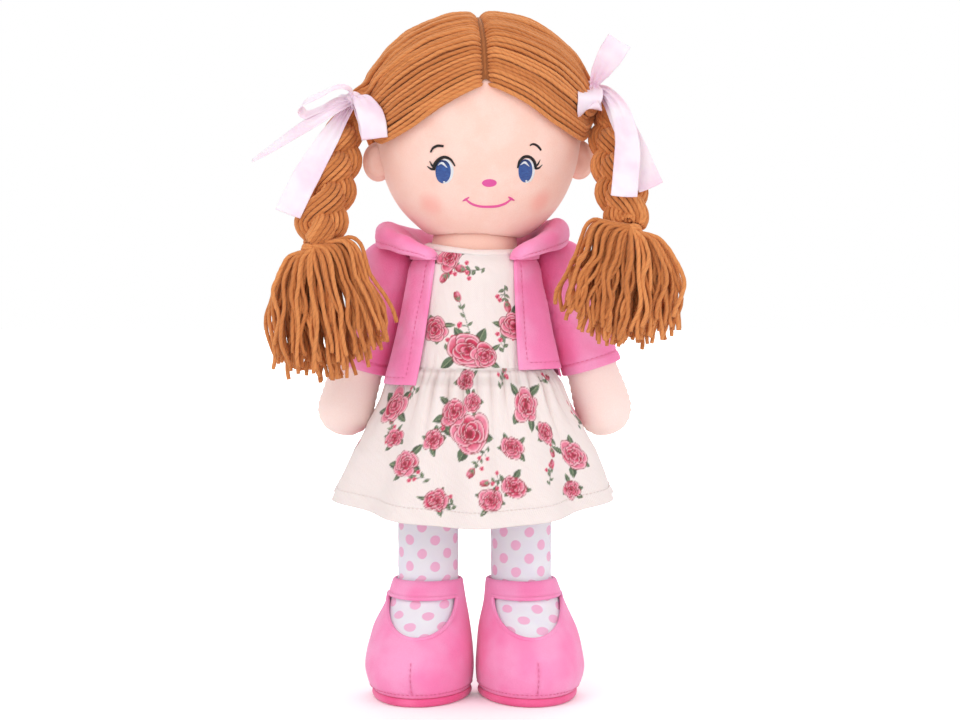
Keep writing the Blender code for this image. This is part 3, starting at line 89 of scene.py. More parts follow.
HEAD_HALF_WIDTH, HEAD_HALF_DEPTH, HEAD_MIDDLE = 0.0602, 0.0505, CHIN + FACE_DROP
HEAD_TURN, HEAD_TILT, HEAD_ASIDE = math.radians(5), math.radians(-0.6), 0.0030
EAR_HALF_HEIGHT, EAR_HALF_DEPTH, EAR_REACH, EAR_DROP = 0.0110, 0.0055, 0.0085, 0.0331
EAR_LIFT, EAR_OUT = 0.0010, 0.0014
LOWER_FULLNESS, UPPER_FULLNESS = 2.5, 2.05
HAIR_THICKNESS = 0.0055
ROOT_RISE, ROOT_OUT = 0.0045, 0.0074
HAIRLINE_AZIMUTHS = (0, 20, 40, 58, 75, 98, 115, 132, 155, 180)
HAIRLINE_HEIGHTS = (0.705, 0.625, 0.530, 0.475, 0.452, 0.450, 0.36, 0.235, 0.165, 0.15)
PLAIT_PITCH, PLAIT_SWING, PLAIT_WEAVE, PLAIT_TURN = 0.059, 0.0060, -0.0062, math.radians(-52)
BUNDLE_HALF_WIDTH, BUNDLE_HALF_DEPTH = 0.0076, 0.0058
WRAP_RADIUS, WRAP_HEIGHT = 0.0080, 0.0070
TASSEL_HALF_WIDTH, TASSEL_HALF_DEPTH = 0.0360, 0.0185
TASSEL_REACHES = {"left": (0.0660, 0.0100), "right": (0.0600, 0.0065)}
BRAID_REACHES = {"left": (0.0840, 0.0198, 0.0340), "right": (0.0755, 0.0125, 0.0530)}
RIBBON_WIDTH = 0.0150
KNOT_RADIUS, KNOT_HALF_DEPTH = 0.0052, 0.0034
YARN_RADIUS, YARN_PITCH = 0.00128, 0.0095
DOT_COLUMN, DOT_ROW = 0.0157, 0.0078


# Shapes

def smooth(x, places, values):
    """The part's own smooth curve through stations, for many places at once."""
    places, values = np.array(places, float), np.array(values, float)
    slopes = np.diff(values) / np.diff(places)
    tangents = np.zeros(len(values))
    for i in range(1, len(values) - 1):
        if slopes[i - 1] * slopes[i] > 0:
            tangents[i] = 2 * slopes[i - 1] * slopes[i] / (slopes[i - 1] + slopes[i])
    tangents[0], tangents[-1] = slopes[0], slopes[-1]
    x = np.asarray(x, float)
    i = np.clip(np.searchsorted(places, x) - 1, 0, len(slopes) - 1)
    width = places[i + 1] - places[i]
    t = np.clip((x - places[i]) / width, 0, 1)
    return (
        values[i] * (2 * t**3 - 3 * t**2 + 1)
        + tangents[i] * width * (t**3 - 2 * t**2 + t)
        + values[i + 1] * (3 * t**2 - 2 * t**3)
        + tangents[i + 1] * width * (t**3 - t**2)
    )


def step(low, high, x):
    t = np.clip((np.asarray(x, float) - low) / (high - low), 0, 1)
    return t * t * (3 - 2 * t)


def unit(v):
    return v / np.maximum(np.linalg.norm(v, axis=-1, keepdims=True), 1e-12)


def wobble(points, wavelength, seed, octaves=5):
    """A smooth, repeatable unevenness from -1 to 1 over points in space."""
    rng = np.random.default_rng(seed)
    total = np.zeros(np.shape(points)[:-1])
    for _ in range(octaves):
        way = unit(rng.normal(size=3)) * rng.uniform(0.7, 1.6) * 2 * PI / wavelength
        total += np.sin(points @ way + rng.uniform(0, 2 * PI))
    return total / octaves * 1.6


def circle(count):
    return np.linspace(0, 2 * PI, count, endpoint=False)


def along_line(line):
    """How far along a line of points each of them lies."""
    return np.concatenate([[0], np.cumsum(np.linalg.norm(np.diff(line, axis=0), axis=1))])


def spline(points, count):
    """Points evenly along a smooth curve through a few chosen points."""
    p = np.array(points, float)
    lengths = along_line(p)
    padded = np.vstack([2 * p[0] - p[1], p, 2 * p[-1] - p[-2]])
    along = np.linspace(0, lengths[-1], max(count * 4, 60))
    i = np.clip(np.searchsorted(lengths, along, side="right") - 1, 0, len(p) - 2)
    t = ((along - lengths[i]) / (lengths[i + 1] - lengths[i]))[:, None]
    p0, p1, p2, p3 = padded[i], padded[i + 1], padded[i + 2], padded[i + 3]
    fine = (
        2 * p1 + (p2 - p0) * t + (2 * p0 - 5 * p1 + 4 * p2 - p3) * t**2
        + (3 * p1 - p0 - 3 * p2 + p3) * t**3
    ) / 2
    return evenly(fine, count)


def evenly(line, count):
    lengths = along_line(line)
    at = np.linspace(0, lengths[-1], count)
    return np.stack([np.interp(at, lengths, line[:, k]) for k in range(line.shape[1])], axis=1)


def build(name, points, quads, tris=None, uvs=None, layers=None):
    """A mesh object from arrays; uvs are given per corner, and layers are values per point."""
    quads = np.asarray(quads, np.int32).reshape(-1, 4)
    tris = np.zeros((0, 3), np.int32) if tris is None else np.asarray(tris, np.int32).reshape(-1, 3)
    loops = np.concatenate([quads.ravel(), tris.ravel()])
    totals = np.concatenate([np.full(len(quads), 4), np.full(len(tris), 3)]).astype(np.int32)
    starts = np.concatenate([[0], np.cumsum(totals)[:-1]]).astype(np.int32)
    mesh = bpy.data.meshes.new(name)
    mesh.vertices.add(len(points))
    mesh.vertices.foreach_set("co", np.asarray(points, np.float32).ravel())
    mesh.loops.add(len(loops))
    mesh.loops.foreach_set("vertex_index", loops)
    mesh.polygons.add(len(totals))
    mesh.polygons.foreach_set("loop_start", starts)
    mesh.polygons.foreach_set("loop_total", totals)
    mesh.update(calc_edges=True)
    if uvs is not None:
        mesh.uv_layers.new(name="UVMap").data.foreach_set("uv", np.asarray(uvs, np.float32).ravel())
    for key, values in (layers or {}).items():
        values = np.asarray(values, np.float32)
        if values.ndim == 1:
            mesh.attributes.new(key, "FLOAT", "POINT").data.foreach_set("value", values)
        else:
            colours = np.concatenate([values, np.ones((len(values), 1))], axis=1)
            layer = mesh.color_attributes.new(key, "FLOAT_COLOR", "POINT")
            layer.data.foreach_set("color", colours.astype(np.float32).ravel())
    mesh.shade_smooth()
    piece = bpy.data.objects.new(name, mesh)
    bpy.context.scene.collection.objects.link(piece)
    return piece


def grid_faces(rows, columns, closed=False, start=0):
    """Corner indices of a grid's faces, and the row and column of every corner for its UV."""
    last = columns if closed else columns - 1
    i, j = np.meshgrid(np.arange(rows - 1), np.arange(last), indexing="ij")
    i, j = i.ravel(), j.ravel()
    k = (j + 1) % columns
    quads = np.stack([i * columns + j, i * columns + k, (i + 1) * columns + k, (i + 1) * columns + j], 1)
    at = np.stack([np.stack([i, j], 1), np.stack([i, j + 1], 1), np.stack([i + 1, j + 1], 1),
                   np.stack([i + 1, j], 1)], 1)
    return quads + start, at


def surface(name, points, closed=False, u=None, v=None, caps=(False, False), layers=None, flip=False):
    """A grid of points as a mesh; caps close the first and last row with a fan."""
    rows, columns = points.shape[:2]
    quads, at = grid_faces(rows, columns, closed)
    u = np.linspace(0, 1, columns + 1) if u is None else u
    v = np.linspace(0, 1, rows) if v is None else v
    if np.ndim(u) == 1:
        uvs = np.stack([np.asarray(u)[at[..., 1]], np.asarray(v)[at[..., 0]]], -1)
    else:
        uvs = np.stack([u[at[..., 0], at[..., 1]], v[at[..., 0], at[..., 1]]], -1)
    flat = points.reshape(-1, 3)
    tris, corners = [], []
    for which, row in ((0, 0), (1, rows - 1)):
        if caps[which]:
            hub = len(flat)
            flat = np.vstack([flat, points[row].mean(0)])
            for j in range(columns if closed else columns - 1):
                k = (j + 1) % columns
                a, b = row * columns + j, row * columns + k
                tris.append((hub, b, a) if which == 0 else (hub, a, b))
                corners.append([[0, 0]] * 3)
    if layers:
        grown = {}
        for key, values in layers.items():
            values = values.reshape(rows * columns, *values.shape[2:])
            extra = len(flat) - len(values)
            grown[key] = np.concatenate([values, np.repeat(values[-1:], extra, 0)]) if extra else values
        layers = grown
    all_uvs = uvs.reshape(-1, 2)
    if tris:
        all_uvs = np.concatenate([all_uvs, np.array(corners, float).reshape(-1, 2)])
    if flip:
        quads = quads[:, ::-1]
        all_uvs[: len(quads) * 4] = uvs[:, ::-1].reshape(-1, 2)
        tris = [t[::-1] for t in tris]
    return build(name, flat, quads, tris or None, all_uvs, layers)


def slab(name, outer, inner, closed=False, u=None, v=None):
    """A closed piece between two grids; where they meet, along an edge, their points are welded."""
    rows, columns = outer.shape[:2]
    n = rows * columns
    top, at = grid_faces(rows, columns, closed)
    below = grid_faces(rows, columns, closed, n)[0][:, ::-1]
    rim = []
    for i in (0, rows - 1):
        for j in range(columns if closed else columns - 1):
            k = (j + 1) % columns
            a, b = i * columns + j, i * columns + k
            rim.append((b, a, a + n, b + n) if i == 0 else (a, b, b + n, a + n))
    if not closed:
        for j in (0, columns - 1):
            for i in range(rows - 1):
                a, b = i * columns + j, (i + 1) * columns + j
                rim.append((a, b, b + n, a + n) if j == 0 else (b, a, a + n, b + n))
    u = np.linspace(0, 1, columns + 1) if u is None else np.asarray(u)
    v = np.linspace(0, 1, rows) if v is None else np.asarray(v)
    uvs = np.stack([u[at[..., 1]], v[at[..., 0]]], -1)
    rim_uvs = np.zeros((len(rim), 4, 2))
    points = np.concatenate([outer.reshape(-1, 3), inner.reshape(-1, 3)])
    piece = build(name, points, np.concatenate([top, below, np.array(rim)]), None,
                  np.concatenate([uvs, uvs[:, ::-1], rim_uvs]).reshape(-1, 2))
    weld(piece)
    return piece


def weld(piece, distance=0.02 * MM):
    """Merge points that coincide, and drop what they leave without area."""
    body = bmesh.new()
    body.from_mesh(piece.data)
    bmesh.ops.remove_doubles(body, verts=body.verts, dist=distance)
    bmesh.ops.dissolve_degenerate(body, dist=distance / 10, edges=body.edges)
    bmesh.ops.recalc_face_normals(body, faces=body.faces)
    body.to_mesh(piece.data)
    body.free()
    piece.data.shade_smooth()


def carried(lines):
    """Ways along, across and out of many lines of equal point count, without twist."""
    along = unit(np.gradient(lines, axis=1))
    across = np.zeros_like(lines)
    seed = np.where(np.abs(along[:, :1, 2:]) < 0.9, np.array([[[0, 0, 1.0]]]), np.array([[[1.0, 0, 0]]]))
    across[:, 0] = unit(np.cross(along[:, 0], seed[:, 0]))
    for i in range(1, lines.shape[1]):
        kept = across[:, i - 1] - along[:, i] * np.sum(across[:, i - 1] * along[:, i], -1, keepdims=True)
        across[:, i] = unit(kept)
    return along, across, np.cross(along, across)


def yarns(name, lines, radius=YARN_RADIUS, pitch=YARN_PITCH, sides=8, seed=1, slim=None, lobe=0.05,
          blunt=0.05):
    """Two-ply yarn along many lines (strands, points, 3): a twisted section with round ends."""
    rng = np.random.default_rng(seed)
    strands, count = lines.shape[:2]
    _, across, out = carried(lines)
    steps = np.linalg.norm(np.diff(lines, axis=1), axis=2)
    length = np.concatenate([np.zeros((strands, 1)), np.cumsum(steps, 1)], 1)
    angle = np.arange(sides) * 2 * PI / sides
    twist = 2 * PI * length / pitch + rng.uniform(0, 2 * PI, (strands, 1))
    shape = 1 + lobe * np.cos(2 * (angle[None, None, :] - twist[..., None]))
    size = np.full((strands, count), radius) * rng.uniform(0.94, 1.07, (strands, 1))
    if slim is not None:
        size = size * slim
    ends = np.minimum(length, length[:, -1:] - length)
    size = size * np.sqrt(np.clip(1 - (1 - np.clip(ends / radius, 0, 1)) ** 2, blunt, 1))
    r = size[..., None] * shape
    points = lines[:, :, None] + r[..., None] * (
        across[:, :, None] * np.cos(angle)[:, None] + out[:, :, None] * np.sin(angle)[:, None]
    )
    quads, at = grid_faces(count, sides, True)
    stride = count * sides
    all_quads = (quads[None] + (np.arange(strands) * stride)[:, None, None]).reshape(-1, 4)
    u = length[:, at[..., 0]]
    v = np.broadcast_to(at[..., 1] / sides, u.shape)
    phase = (twist[:, 0] / PI)[:, None, None]
    uvs = np.stack([u, v], -1).reshape(-1, 2)
    tone = np.repeat(rng.uniform(0, 1, strands), stride)
    turn = np.repeat(phase.ravel(), stride)
    verts = points.reshape(-1, 3)
    hubs = np.concatenate([lines[:, 0], lines[:, -1]])
    fans = []
    j = np.arange(sides)
    k = (j + 1) % sides
    for s in range(strands):
        base = s * stride
        tail = base + (count - 1) * sides
        fans.append(np.stack([np.full(sides, len(verts) + s), base + k, base + j], 1))
        fans.append(np.stack([np.full(sides, len(verts) + strands + s), tail + j, tail + k], 1))
    tris = np.concatenate(fans)
    uvs = np.concatenate([uvs, np.zeros((len(tris) * 3, 2))])
    tone = np.concatenate([tone, np.full(2 * strands, 0.5)])
    turn = np.concatenate([turn, np.zeros(2 * strands)])
    return build(name, np.concatenate([verts, hubs]), all_quads, tris, uvs, {"tone": tone, "turn": turn})


def stitches(name, line, normals, length, gap, radius, material):
    """A row of short sewn stitches along a line, each a little raised capsule."""
    at = along_line(line)
    count = max(int(at[-1] / (length + gap)), 1)
    pitch = at[-1] / count
    rows = []
    for n in range(count):
        places = n * pitch + np.linspace(gap / 2, pitch - gap / 2, 5)
        place = np.stack([np.interp(places, at, line[:, k]) for k in range(3)], 1)
        out = np.stack([np.interp(places, at, normals[:, k]) for k in range(3)], 1)
        lift = np.array([-0.6, 0.5, 0.8, 0.5, -0.6])[:, None] * radius
        rows.append(place + unit(out) * lift)
    piece = yarns(name, np.array(rows), radius, 1, 6, 3, lobe=0)
    piece.data.materials.append(material)
    return piece


SEAM_STITCH = (0.0021, 0.0008, 0.00026)


def seam_row(name, line, ways, count, thread, sizes=SEAM_STITCH):
    """Stitches along a line whose outward ways are given at its points."""
    even = evenly(np.concatenate([line, ways], 1), count)
    return stitches(name, even[:, :3], even[:, 3:], *sizes, thread)


# Materials

def srgb(red, green, blue):
    values = []
    for c in (red, green, blue):
        c /= 255
        values.append(c / 12.92 if c <= 0.04045 else ((c + 0.055) / 1.055) ** 2.4)
    return (*values, 1)


class Finish:
    """A node material under construction."""

    def __init__(self, name, roughness=0.85, **sockets):
        self.material = bpy.data.materials.new(name)
        self.material.use_nodes = True
        self.tree = self.material.node_tree
        self.shader = self.tree.nodes["Principled BSDF"]
        self.shader.inputs["Roughness"].default_value = roughness
        for key, value in sockets.items():
            self.shader.inputs[key.replace("_", " ")].default_value = value

    def node(self, kind, inputs=None, out=0, **settings):
        made = self.tree.nodes.new("ShaderNode" + kind)
        for key, value in settings.items():
            setattr(made, key, value)
        for key, value in (inputs or {}).items():
            if isinstance(value, bpy.types.NodeSocket):
                self.tree.links.new(value, made.inputs[key])
            else:
                made.inputs[key].default_value = value
        return made.outputs[out]

    def math(self, operation, a, b=0.0, c=0.0):
        return self.node("Math", {0: a, 1: b, 2: c}, operation=operation)

    def times(self, a, b):
        return self.math("MULTIPLY", a, b)

    def plus(self, a, b):
        return self.math("ADD", a, b)

    def waves(self, place, period):
        return self.math("SINE", self.times(place, 2 * PI / period))

    def noise(self, vector, scale, detail=3.0, roughness=0.55):
        return self.node("TexNoise", {"Vector": vector, "Scale": scale, "Detail": detail,
                                      "Roughness": roughness})

    def place(self):
        return self.node("TexCoord", out=3)

    def uv(self):
        made = self.tree.nodes.new("ShaderNodeUVMap")
        made.uv_map = "UVMap"
        return made.outputs[0]

    def parts(self, vector):
        made = self.tree.nodes.new("ShaderNodeSeparateXYZ")
        self.tree.links.new(vector, made.inputs[0])
        return made.outputs

    def value(self, name):
        return self.node("Attribute", out=2, attribute_name=name)

    def ramp(self, factor, low, high, first, last):
        """Colour first below low and last above high, blended between."""
        share = self.node("MapRange", {"Value": factor, "From Min": low, "From Max": high},
                          interpolation_type="SMOOTHSTEP")
        return self.mix(share, first, last)

    def share(self, factor, low, high, start=0.0, end=1.0):
        return self.node("MapRange", {"Value": factor, "From Min": low, "From Max": high,
                                      "To Min": start, "To Max": end}, interpolation_type="SMOOTHSTEP")

    def mix(self, share, first, last, blend="MIX"):
        made = self.tree.nodes.new("ShaderNodeMix")
        made.data_type = "RGBA"
        made.blend_type = blend
        for socket, value in ((made.inputs[0], share), (made.inputs[6], first), (made.inputs[7], last)):
            if isinstance(value, bpy.types.NodeSocket):
                self.tree.links.new(value, socket)
            else:
                socket.default_value = value
        return made.outputs[2]

    def colour(self, socket):
        self.tree.links.new(socket, self.shader.inputs["Base Color"])

    def bump(self, height, distance, strength=1.0, over=None):
        inputs = {"Height": height, "Distance": distance, "Strength": strength}
        if over is not None:
            inputs["Normal"] = over
        normal = self.node("Bump", inputs)
        self.tree.links.new(normal, self.shader.inputs["Normal"])
        return normal


def near(finish, place, spot, inner, outer):
    """1 at a spot, falling to 0 at the outer distance."""
    distance = finish.node("VectorMath", {0: place, 1: tuple(float(c) for c in spot)}, out=1,
                           operation="DISTANCE")
    return finish.share(distance, inner, outer, 1.0, 0.0)


def skin_finish(name, blushes=(), tint=None):
    """Short-napped flesh cloth with a soft mottle and sprayed blush."""
    f = Finish(name, 0.82, Sheen_Weight=0.35, Sheen_Roughness=0.45, Subsurface_Weight=0.12,
               Subsurface_Scale=0.006)
    f.shader.inputs["Subsurface Radius"].default_value = (1.0, 0.45, 0.3)
    f.shader.inputs["Sheen Tint"].default_value = (1, 0.93, 0.88, 1)
    place = f.place()
    colour = f.ramp(f.noise(place, 60), 0.35, 0.65, srgb(252, 206, 192), srgb(254, 214, 202))
    if tint:
        colour = f.mix(0.8, colour, tint)
    fine = f.noise(place, 1500, 4.0, 0.6)
    colour = f.mix(0.12, colour, f.ramp(fine, 0.3, 0.7, srgb(232, 178, 160), srgb(255, 232, 220)))
    for spot, inner, outer, strength in blushes:
        share = f.times(near(f, place, spot, inner, outer), strength)
        colour = f.mix(share, colour, srgb(250, 150, 140))
    f.colour(colour)
    grain = f.node("TexVoronoi", {"Vector": place, "Scale": 1300.0})
    height = f.plus(f.times(fine, 0.7), f.times(grain, 0.3))
    f.bump(height, 0.00022, 0.55)
    return f.material


def velour_finish(name, light, deep):
    """Short pile whose colour turns with the way it was brushed."""
    f = Finish(name, 0.9, Sheen_Weight=0.55, Sheen_Roughness=0.35)
    f.shader.inputs["Sheen Tint"].default_value = (1, 0.72, 0.86, 1)
    place = f.place()
    brushed = f.noise(place, 38, 2.0, 0.5)
    warped = f.node("VectorMath", {0: place, 1: (1.0, 1.0, 0.55)}, operation="MULTIPLY")
    pile = f.noise(warped, 1700, 4.0, 0.65)
    colour = f.ramp(brushed, 0.32, 0.68, deep, light)
    colour = f.mix(f.share(pile, 0.35, 0.75, 0.0, 0.16), colour, tuple(c * 0.74 for c in deep[:3]) + (1,))
    f.colour(colour)
    soft = f.noise(place, 420, 2.0, 0.5)
    height = f.plus(pile, f.times(soft, 0.6))
    f.bump(height, 0.00045, 0.7)
    return f.material


def yarn_finish(name, light, mid, dark):
    """Plied yarn with fine fibres along the plies; the grooves between the plies and between the fibres are
    darkened: painted shade.
    """
    f = Finish(name, 0.88, Sheen_Weight=0.35, Sheen_Roughness=0.4)
    f.shader.inputs["Sheen Tint"].default_value = (1, 0.85, 0.6, 1)
    u, v, _ = f.parts(f.uv())
    phase = f.plus(f.times(u, -2 / YARN_PITCH), f.times(v, 2.0))
    phase = f.math("SUBTRACT", phase, f.value("turn"))
    ply = f.math("COSINE", f.times(phase, 2 * PI))
    tone = f.value("tone")
    lanes = f.node("CombineXYZ", {0: f.times(u, 260.0), 1: f.times(phase, 7.0),
                                  2: f.times(tone, 90.0)})
    fibre = f.noise(lanes, 1.0, 3.0, 0.6)
    worn = f.noise(f.place(), 90, 2.0, 0.5)
    colour = f.ramp(f.plus(tone, f.times(worn, 0.6)), 0.25, 1.3, mid, light)
    # Painted shade: darker in the grooves between the plies and between the fibres, where the bump is low.
    colour = f.mix(f.share(ply, -0.3, -1.0, 0.0, 0.16), colour, dark)
    colour = f.mix(f.share(fibre, 0.5, 0.3, 0.0, 0.30), colour, dark)
    f.colour(colour)
    height = f.plus(f.times(ply, 0.35), f.times(fibre, 0.8))
    f.bump(height, 0.0002, 0.6)
    return f.material


def satin_finish(name, colour, shade):
    f = Finish(name, 0.34, Sheen_Weight=0.3, Sheen_Roughness=0.3, Anisotropic=0.4,
               Subsurface_Weight=0.1, Subsurface_Scale=0.004)
    _, v, _ = f.parts(f.uv())
    ribs = f.waves(v, 0.00028)
    broad = f.noise(f.place(), 55, 2.0, 0.5)
    # Painted shade: broad patches of the ribbon blend towards the second, darker colour.
    base = f.ramp(broad, 0.3, 0.7, colour, shade)
    f.colour(f.mix(f.share(ribs, -1, 1, 0.0, 0.06), base, srgb(242, 170, 208)))
    f.bump(ribs, 0.00004, 0.5)
    return f.material


def thread_finish(name, colour, light, across=False, period=0.00034):
    """Satin stitch: fine glossy threads side by side, each painted lighter along its crest: a painted
    highlight.
    """
    f = Finish(name, 0.42, Sheen_Weight=0.05, Sheen_Roughness=0.3)
    u, v, _ = f.parts(f.uv())
    run = f.noise(f.node("CombineXYZ", {0: f.times(u, 900.0), 1: f.times(v, 300.0)}), 1.0)
    line = f.times(v if across else u, 2 * PI / period)
    rows = f.math("SINE", f.plus(line, f.times(run, 1.5)))
    # Painted highlight: the light colour falls on the crest of each thread, the plain colour between them.
    f.colour(f.mix(f.share(rows, -1, 1), colour, light))
    f.bump(rows, 0.0001, 0.8)
    return f.material


def weave(f, vector, period):
    """Plain weave: threads over and under each other, from flat places in metres."""
    x, y, _ = f.parts(vector)
    warp = f.waves(x, period)
    weft = f.waves(y, period)
    return f.times(warp, weft)


def print_finish(name):
    """Cotton with its print, and on the skirt painted shade in the gathers, held by the mesh's own colours,
    and a fine weave.
    """
    f = Finish(name, 0.8, Sheen_Weight=0.15, Sheen_Roughness=0.5, Subsurface_Weight=0.06,
               Subsurface_Scale=0.003)
    uv = f.uv()
    colour = f.node("Attribute", out=0, attribute_name="print")
    cloth = weave(f, uv, 0.0011)
    slub = f.noise(f.node("VectorMath", {0: uv, 1: (500.0, 90.0, 1.0)}, operation="MULTIPLY"), 1.0, 3.0)
    colour = f.mix(f.share(cloth, -1, 1, 0.0, 0.07), colour, srgb(190, 150, 150))
    colour = f.mix(f.share(slub, 0.4, 0.8, 0.0, 0.08), colour, srgb(205, 175, 170))
    f.colour(colour)
    f.bump(f.plus(cloth, f.times(slub, 0.8)), 0.00011, 0.7)
    return f.material


def dotted_finish(name):
    """Knit tights: staggered round dots and the knit's fine ribs."""
    f = Finish(name, 0.78, Sheen_Weight=0.25, Sheen_Roughness=0.45, Subsurface_Weight=0.06,
               Subsurface_Scale=0.004)
    uv = f.uv()
    wander = f.node("VectorMath", {0: f.noise(f.place(), 130, 1.0), 1: (0.0012, 0.0012, 0)},
                    operation="MULTIPLY")
    u, v, _ = f.parts(f.node("VectorMath", {0: uv, 1: wander}, operation="ADD"))
    row = f.math("DIVIDE", v, DOT_ROW)
    whole = f.math("FLOOR", row)
    odd = f.math("MODULO", whole, 2.0)
    column = f.plus(f.math("DIVIDE", u, DOT_COLUMN), f.times(odd, 0.5))
    dx = f.times(f.math("SUBTRACT", f.math("FRACT", column), 0.5), DOT_COLUMN)
    dy = f.times(f.math("SUBTRACT", f.math("FRACT", row), 0.5), DOT_ROW)
    distance = f.math("SQRT", f.plus(f.times(dx, dx), f.times(dy, dy)))
    dot = f.share(distance, 0.0032, 0.0027, 0.0, 1.0)
    base = f.ramp(f.noise(f.place(), 70), 0.3, 0.7, srgb(246, 243, 254), srgb(251, 249, 255))
    colour = f.mix(dot, base, srgb(255, 192, 224))
    ribs = weave(f, uv, 0.0007)
    f.colour(f.mix(f.share(ribs, -1, 1, 0.0, 0.05), colour, srgb(190, 180, 215)))
    f.bump(f.plus(ribs, f.noise(f.place(), 1500)), 0.00012, 0.7)
    return f.material


def finish_piece(piece, body, material, slot, *nodes, padded=None):
    """Paint a piece, let it ride on its body and hide the nodes it stands for."""
    if material is not None:
        piece.data.materials.clear()
        piece.data.materials.append(material)
    if body:
        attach(piece, body)
    if nodes:
        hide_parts(*nodes)
    return piece


# Head

HEAD_MATRIX = np.array(
    Matrix.Translation(NECK_PLACE) @ Matrix.Rotation(HEAD_TURN, 4, "Z") @ Matrix.Rotation(HEAD_TILT, 4, "Y")
    @ Matrix.Translation((HEAD_ASIDE, 0, 0))
)


def from_head(points):
    """Places in the head's frame, which starts at the neck, as places in the world."""
    return points @ HEAD_MATRIX[:3, :3].T + HEAD_MATRIX[:3, 3]


def head_shape(upper):
    """The fullness and the reach of the head's outline, above its middle or below."""
    return np.where(upper, UPPER_FULLNESS, LOWER_FULLNESS), np.where(upper, CROWN_HEIGHT, FACE_DROP)


def on_head(way, offset):
    """Where a way from the head's middle meets the head, or a distance outside it."""
    offset = np.asarray(offset, float)
    rise = way[..., 2]
    n, tall = head_shape(rise >= 0)
    tall = tall + offset
    level = np.hypot(way[..., 0] / (HEAD_HALF_WIDTH + offset), way[..., 1] / (HEAD_HALF_DEPTH + offset))
    reach = 1 / (level**n + (np.abs(rise) / tall) ** n) ** (1 / n)
    return way * reach[..., None] + np.array([0, 0, HEAD_MIDDLE])


def face_point(x, height, offset):
    """The point of the face, or a distance before it, at a place seen from the front."""
    rise = height - HEAD_MIDDLE
    n, reach = head_shape(rise >= 0)
    ring = (1 - np.clip(np.abs(rise) / reach, 0, 0.999) ** n) ** (1 / n)
    width, depth = (HEAD_HALF_WIDTH + offset) * ring, (HEAD_HALF_DEPTH + offset) * ring
    y = -depth * np.sqrt(np.clip(1 - (x / width) ** 2, 0, 1))
    return np.stack([np.broadcast_to(x, y.shape), y, np.broadcast_to(height, y.shape)], -1)


def make_head(skin):
    rows, columns = 120, 144
    angle = np.linspace(-PI / 2 + 0.02, PI / 2 - 0.02, rows)[:, None]
    azimuth = circle(columns)[None]
    way = np.stack(
        [np.cos(angle) * np.sin(azimuth), -np.cos(angle) * np.cos(azimuth), np.sin(angle) + 0 * azimuth], -1
    )
    points = on_head(way, np.zeros(way.shape[:2]))
    points += unit(points - [0, 0, HEAD_MIDDLE]) * (wobble(points, 0.045, 4) * 0.00035)[..., None]
    below = np.hypot(points[..., 0] + HEAD_ASIDE, points[..., 1])
    hollow = step(0.030, 0.020, below) * (points[..., 2] < HEAD_MIDDLE)
    floor = np.sqrt(np.clip(0.0256**2 - below**2, 0, None))
    points[..., 2] = np.where(hollow > 0, np.maximum(points[..., 2], floor * np.minimum(hollow * 3, 1)),
                              points[..., 2])
    points[..., 2] -= (0.0020 * np.exp(-((below / 0.042) ** 4)) * step(0.0200, 0.0290, below)
                       * step(0.019, 0.007, points[..., 2]))
    head = surface("head_cloth", from_head(points), True, caps=(True, True))
    finish_piece(head, "head", skin, "skin", "head", padded=0.9)
    neck_rows = [(TORSO_TOP + GAP, 0.0250), (TORSO_TOP + 0.0022, 0.02495), (NECK_PLACE[2], NECK_RADIUS)]
    for a in np.linspace(0, PI / 2, 12)[1:-1]:
        neck_rows.append((NECK_PLACE[2] + NECK_RADIUS * math.sin(a), NECK_RADIUS * math.cos(a)))
    turn = circle(64)
    rings = [np.stack([MIDDLE[0] + r * np.sin(turn), MIDDLE[1] + r * np.cos(turn), 0 * turn + z], 1)
             for z, r in neck_rows]
    neck = surface("neck_cloth", np.array(rings), True, caps=(True, True), flip=True)
    # The neck's skin gets a darker tint: painted shade under the chin.
    shaded = skin_finish("neck_skin", tint=srgb(240, 192, 176))
    finish_piece(neck, "neck", shaded, "skin", "neck", padded=0.8)
    for name, side in SIDES:
        make_ear(name, side, skin)


def make_ear(name, side, skin):
    """A flat stuffed ear with the ridge of its seam round the edge."""
    height = HEAD_MIDDLE - EAR_DROP + EAR_LIFT
    ring = (1 - (EAR_DROP / FACE_DROP) ** LOWER_FULLNESS) ** (1 / LOWER_FULLNESS)
    root = HEAD_HALF_WIDTH * ring + EAR_OUT
    rows, columns = 40, 64
    a = np.linspace(-PI / 2 + 0.05, PI / 2 - 0.05, rows)[:, None]
    b = circle(columns)[None]
    x, z = np.cos(b) * np.cos(a), np.sin(b) * np.cos(a)
    rim = np.hypot(x, z)
    thick = np.sin(a) * (1 - 0.25 * step(0.6, 0.0, rim)) + 0 * b
    grown = 1 + 0.05 * step(0.93, 1.0, rim)
    points = np.stack(
        [side * (root + x * EAR_REACH * grown), thick * EAR_HALF_DEPTH * (1 - 0.55 * step(0.80, 1.0, rim)),
         height + z * EAR_HALF_HEIGHT * grown], -1
    )
    ear = surface("ear_cloth_" + name, from_head(points), True, caps=(True, True), flip=side < 0)
    weld(ear)
    finish_piece(ear, "head", skin, "skin", "ear_" + name, padded=0.6)


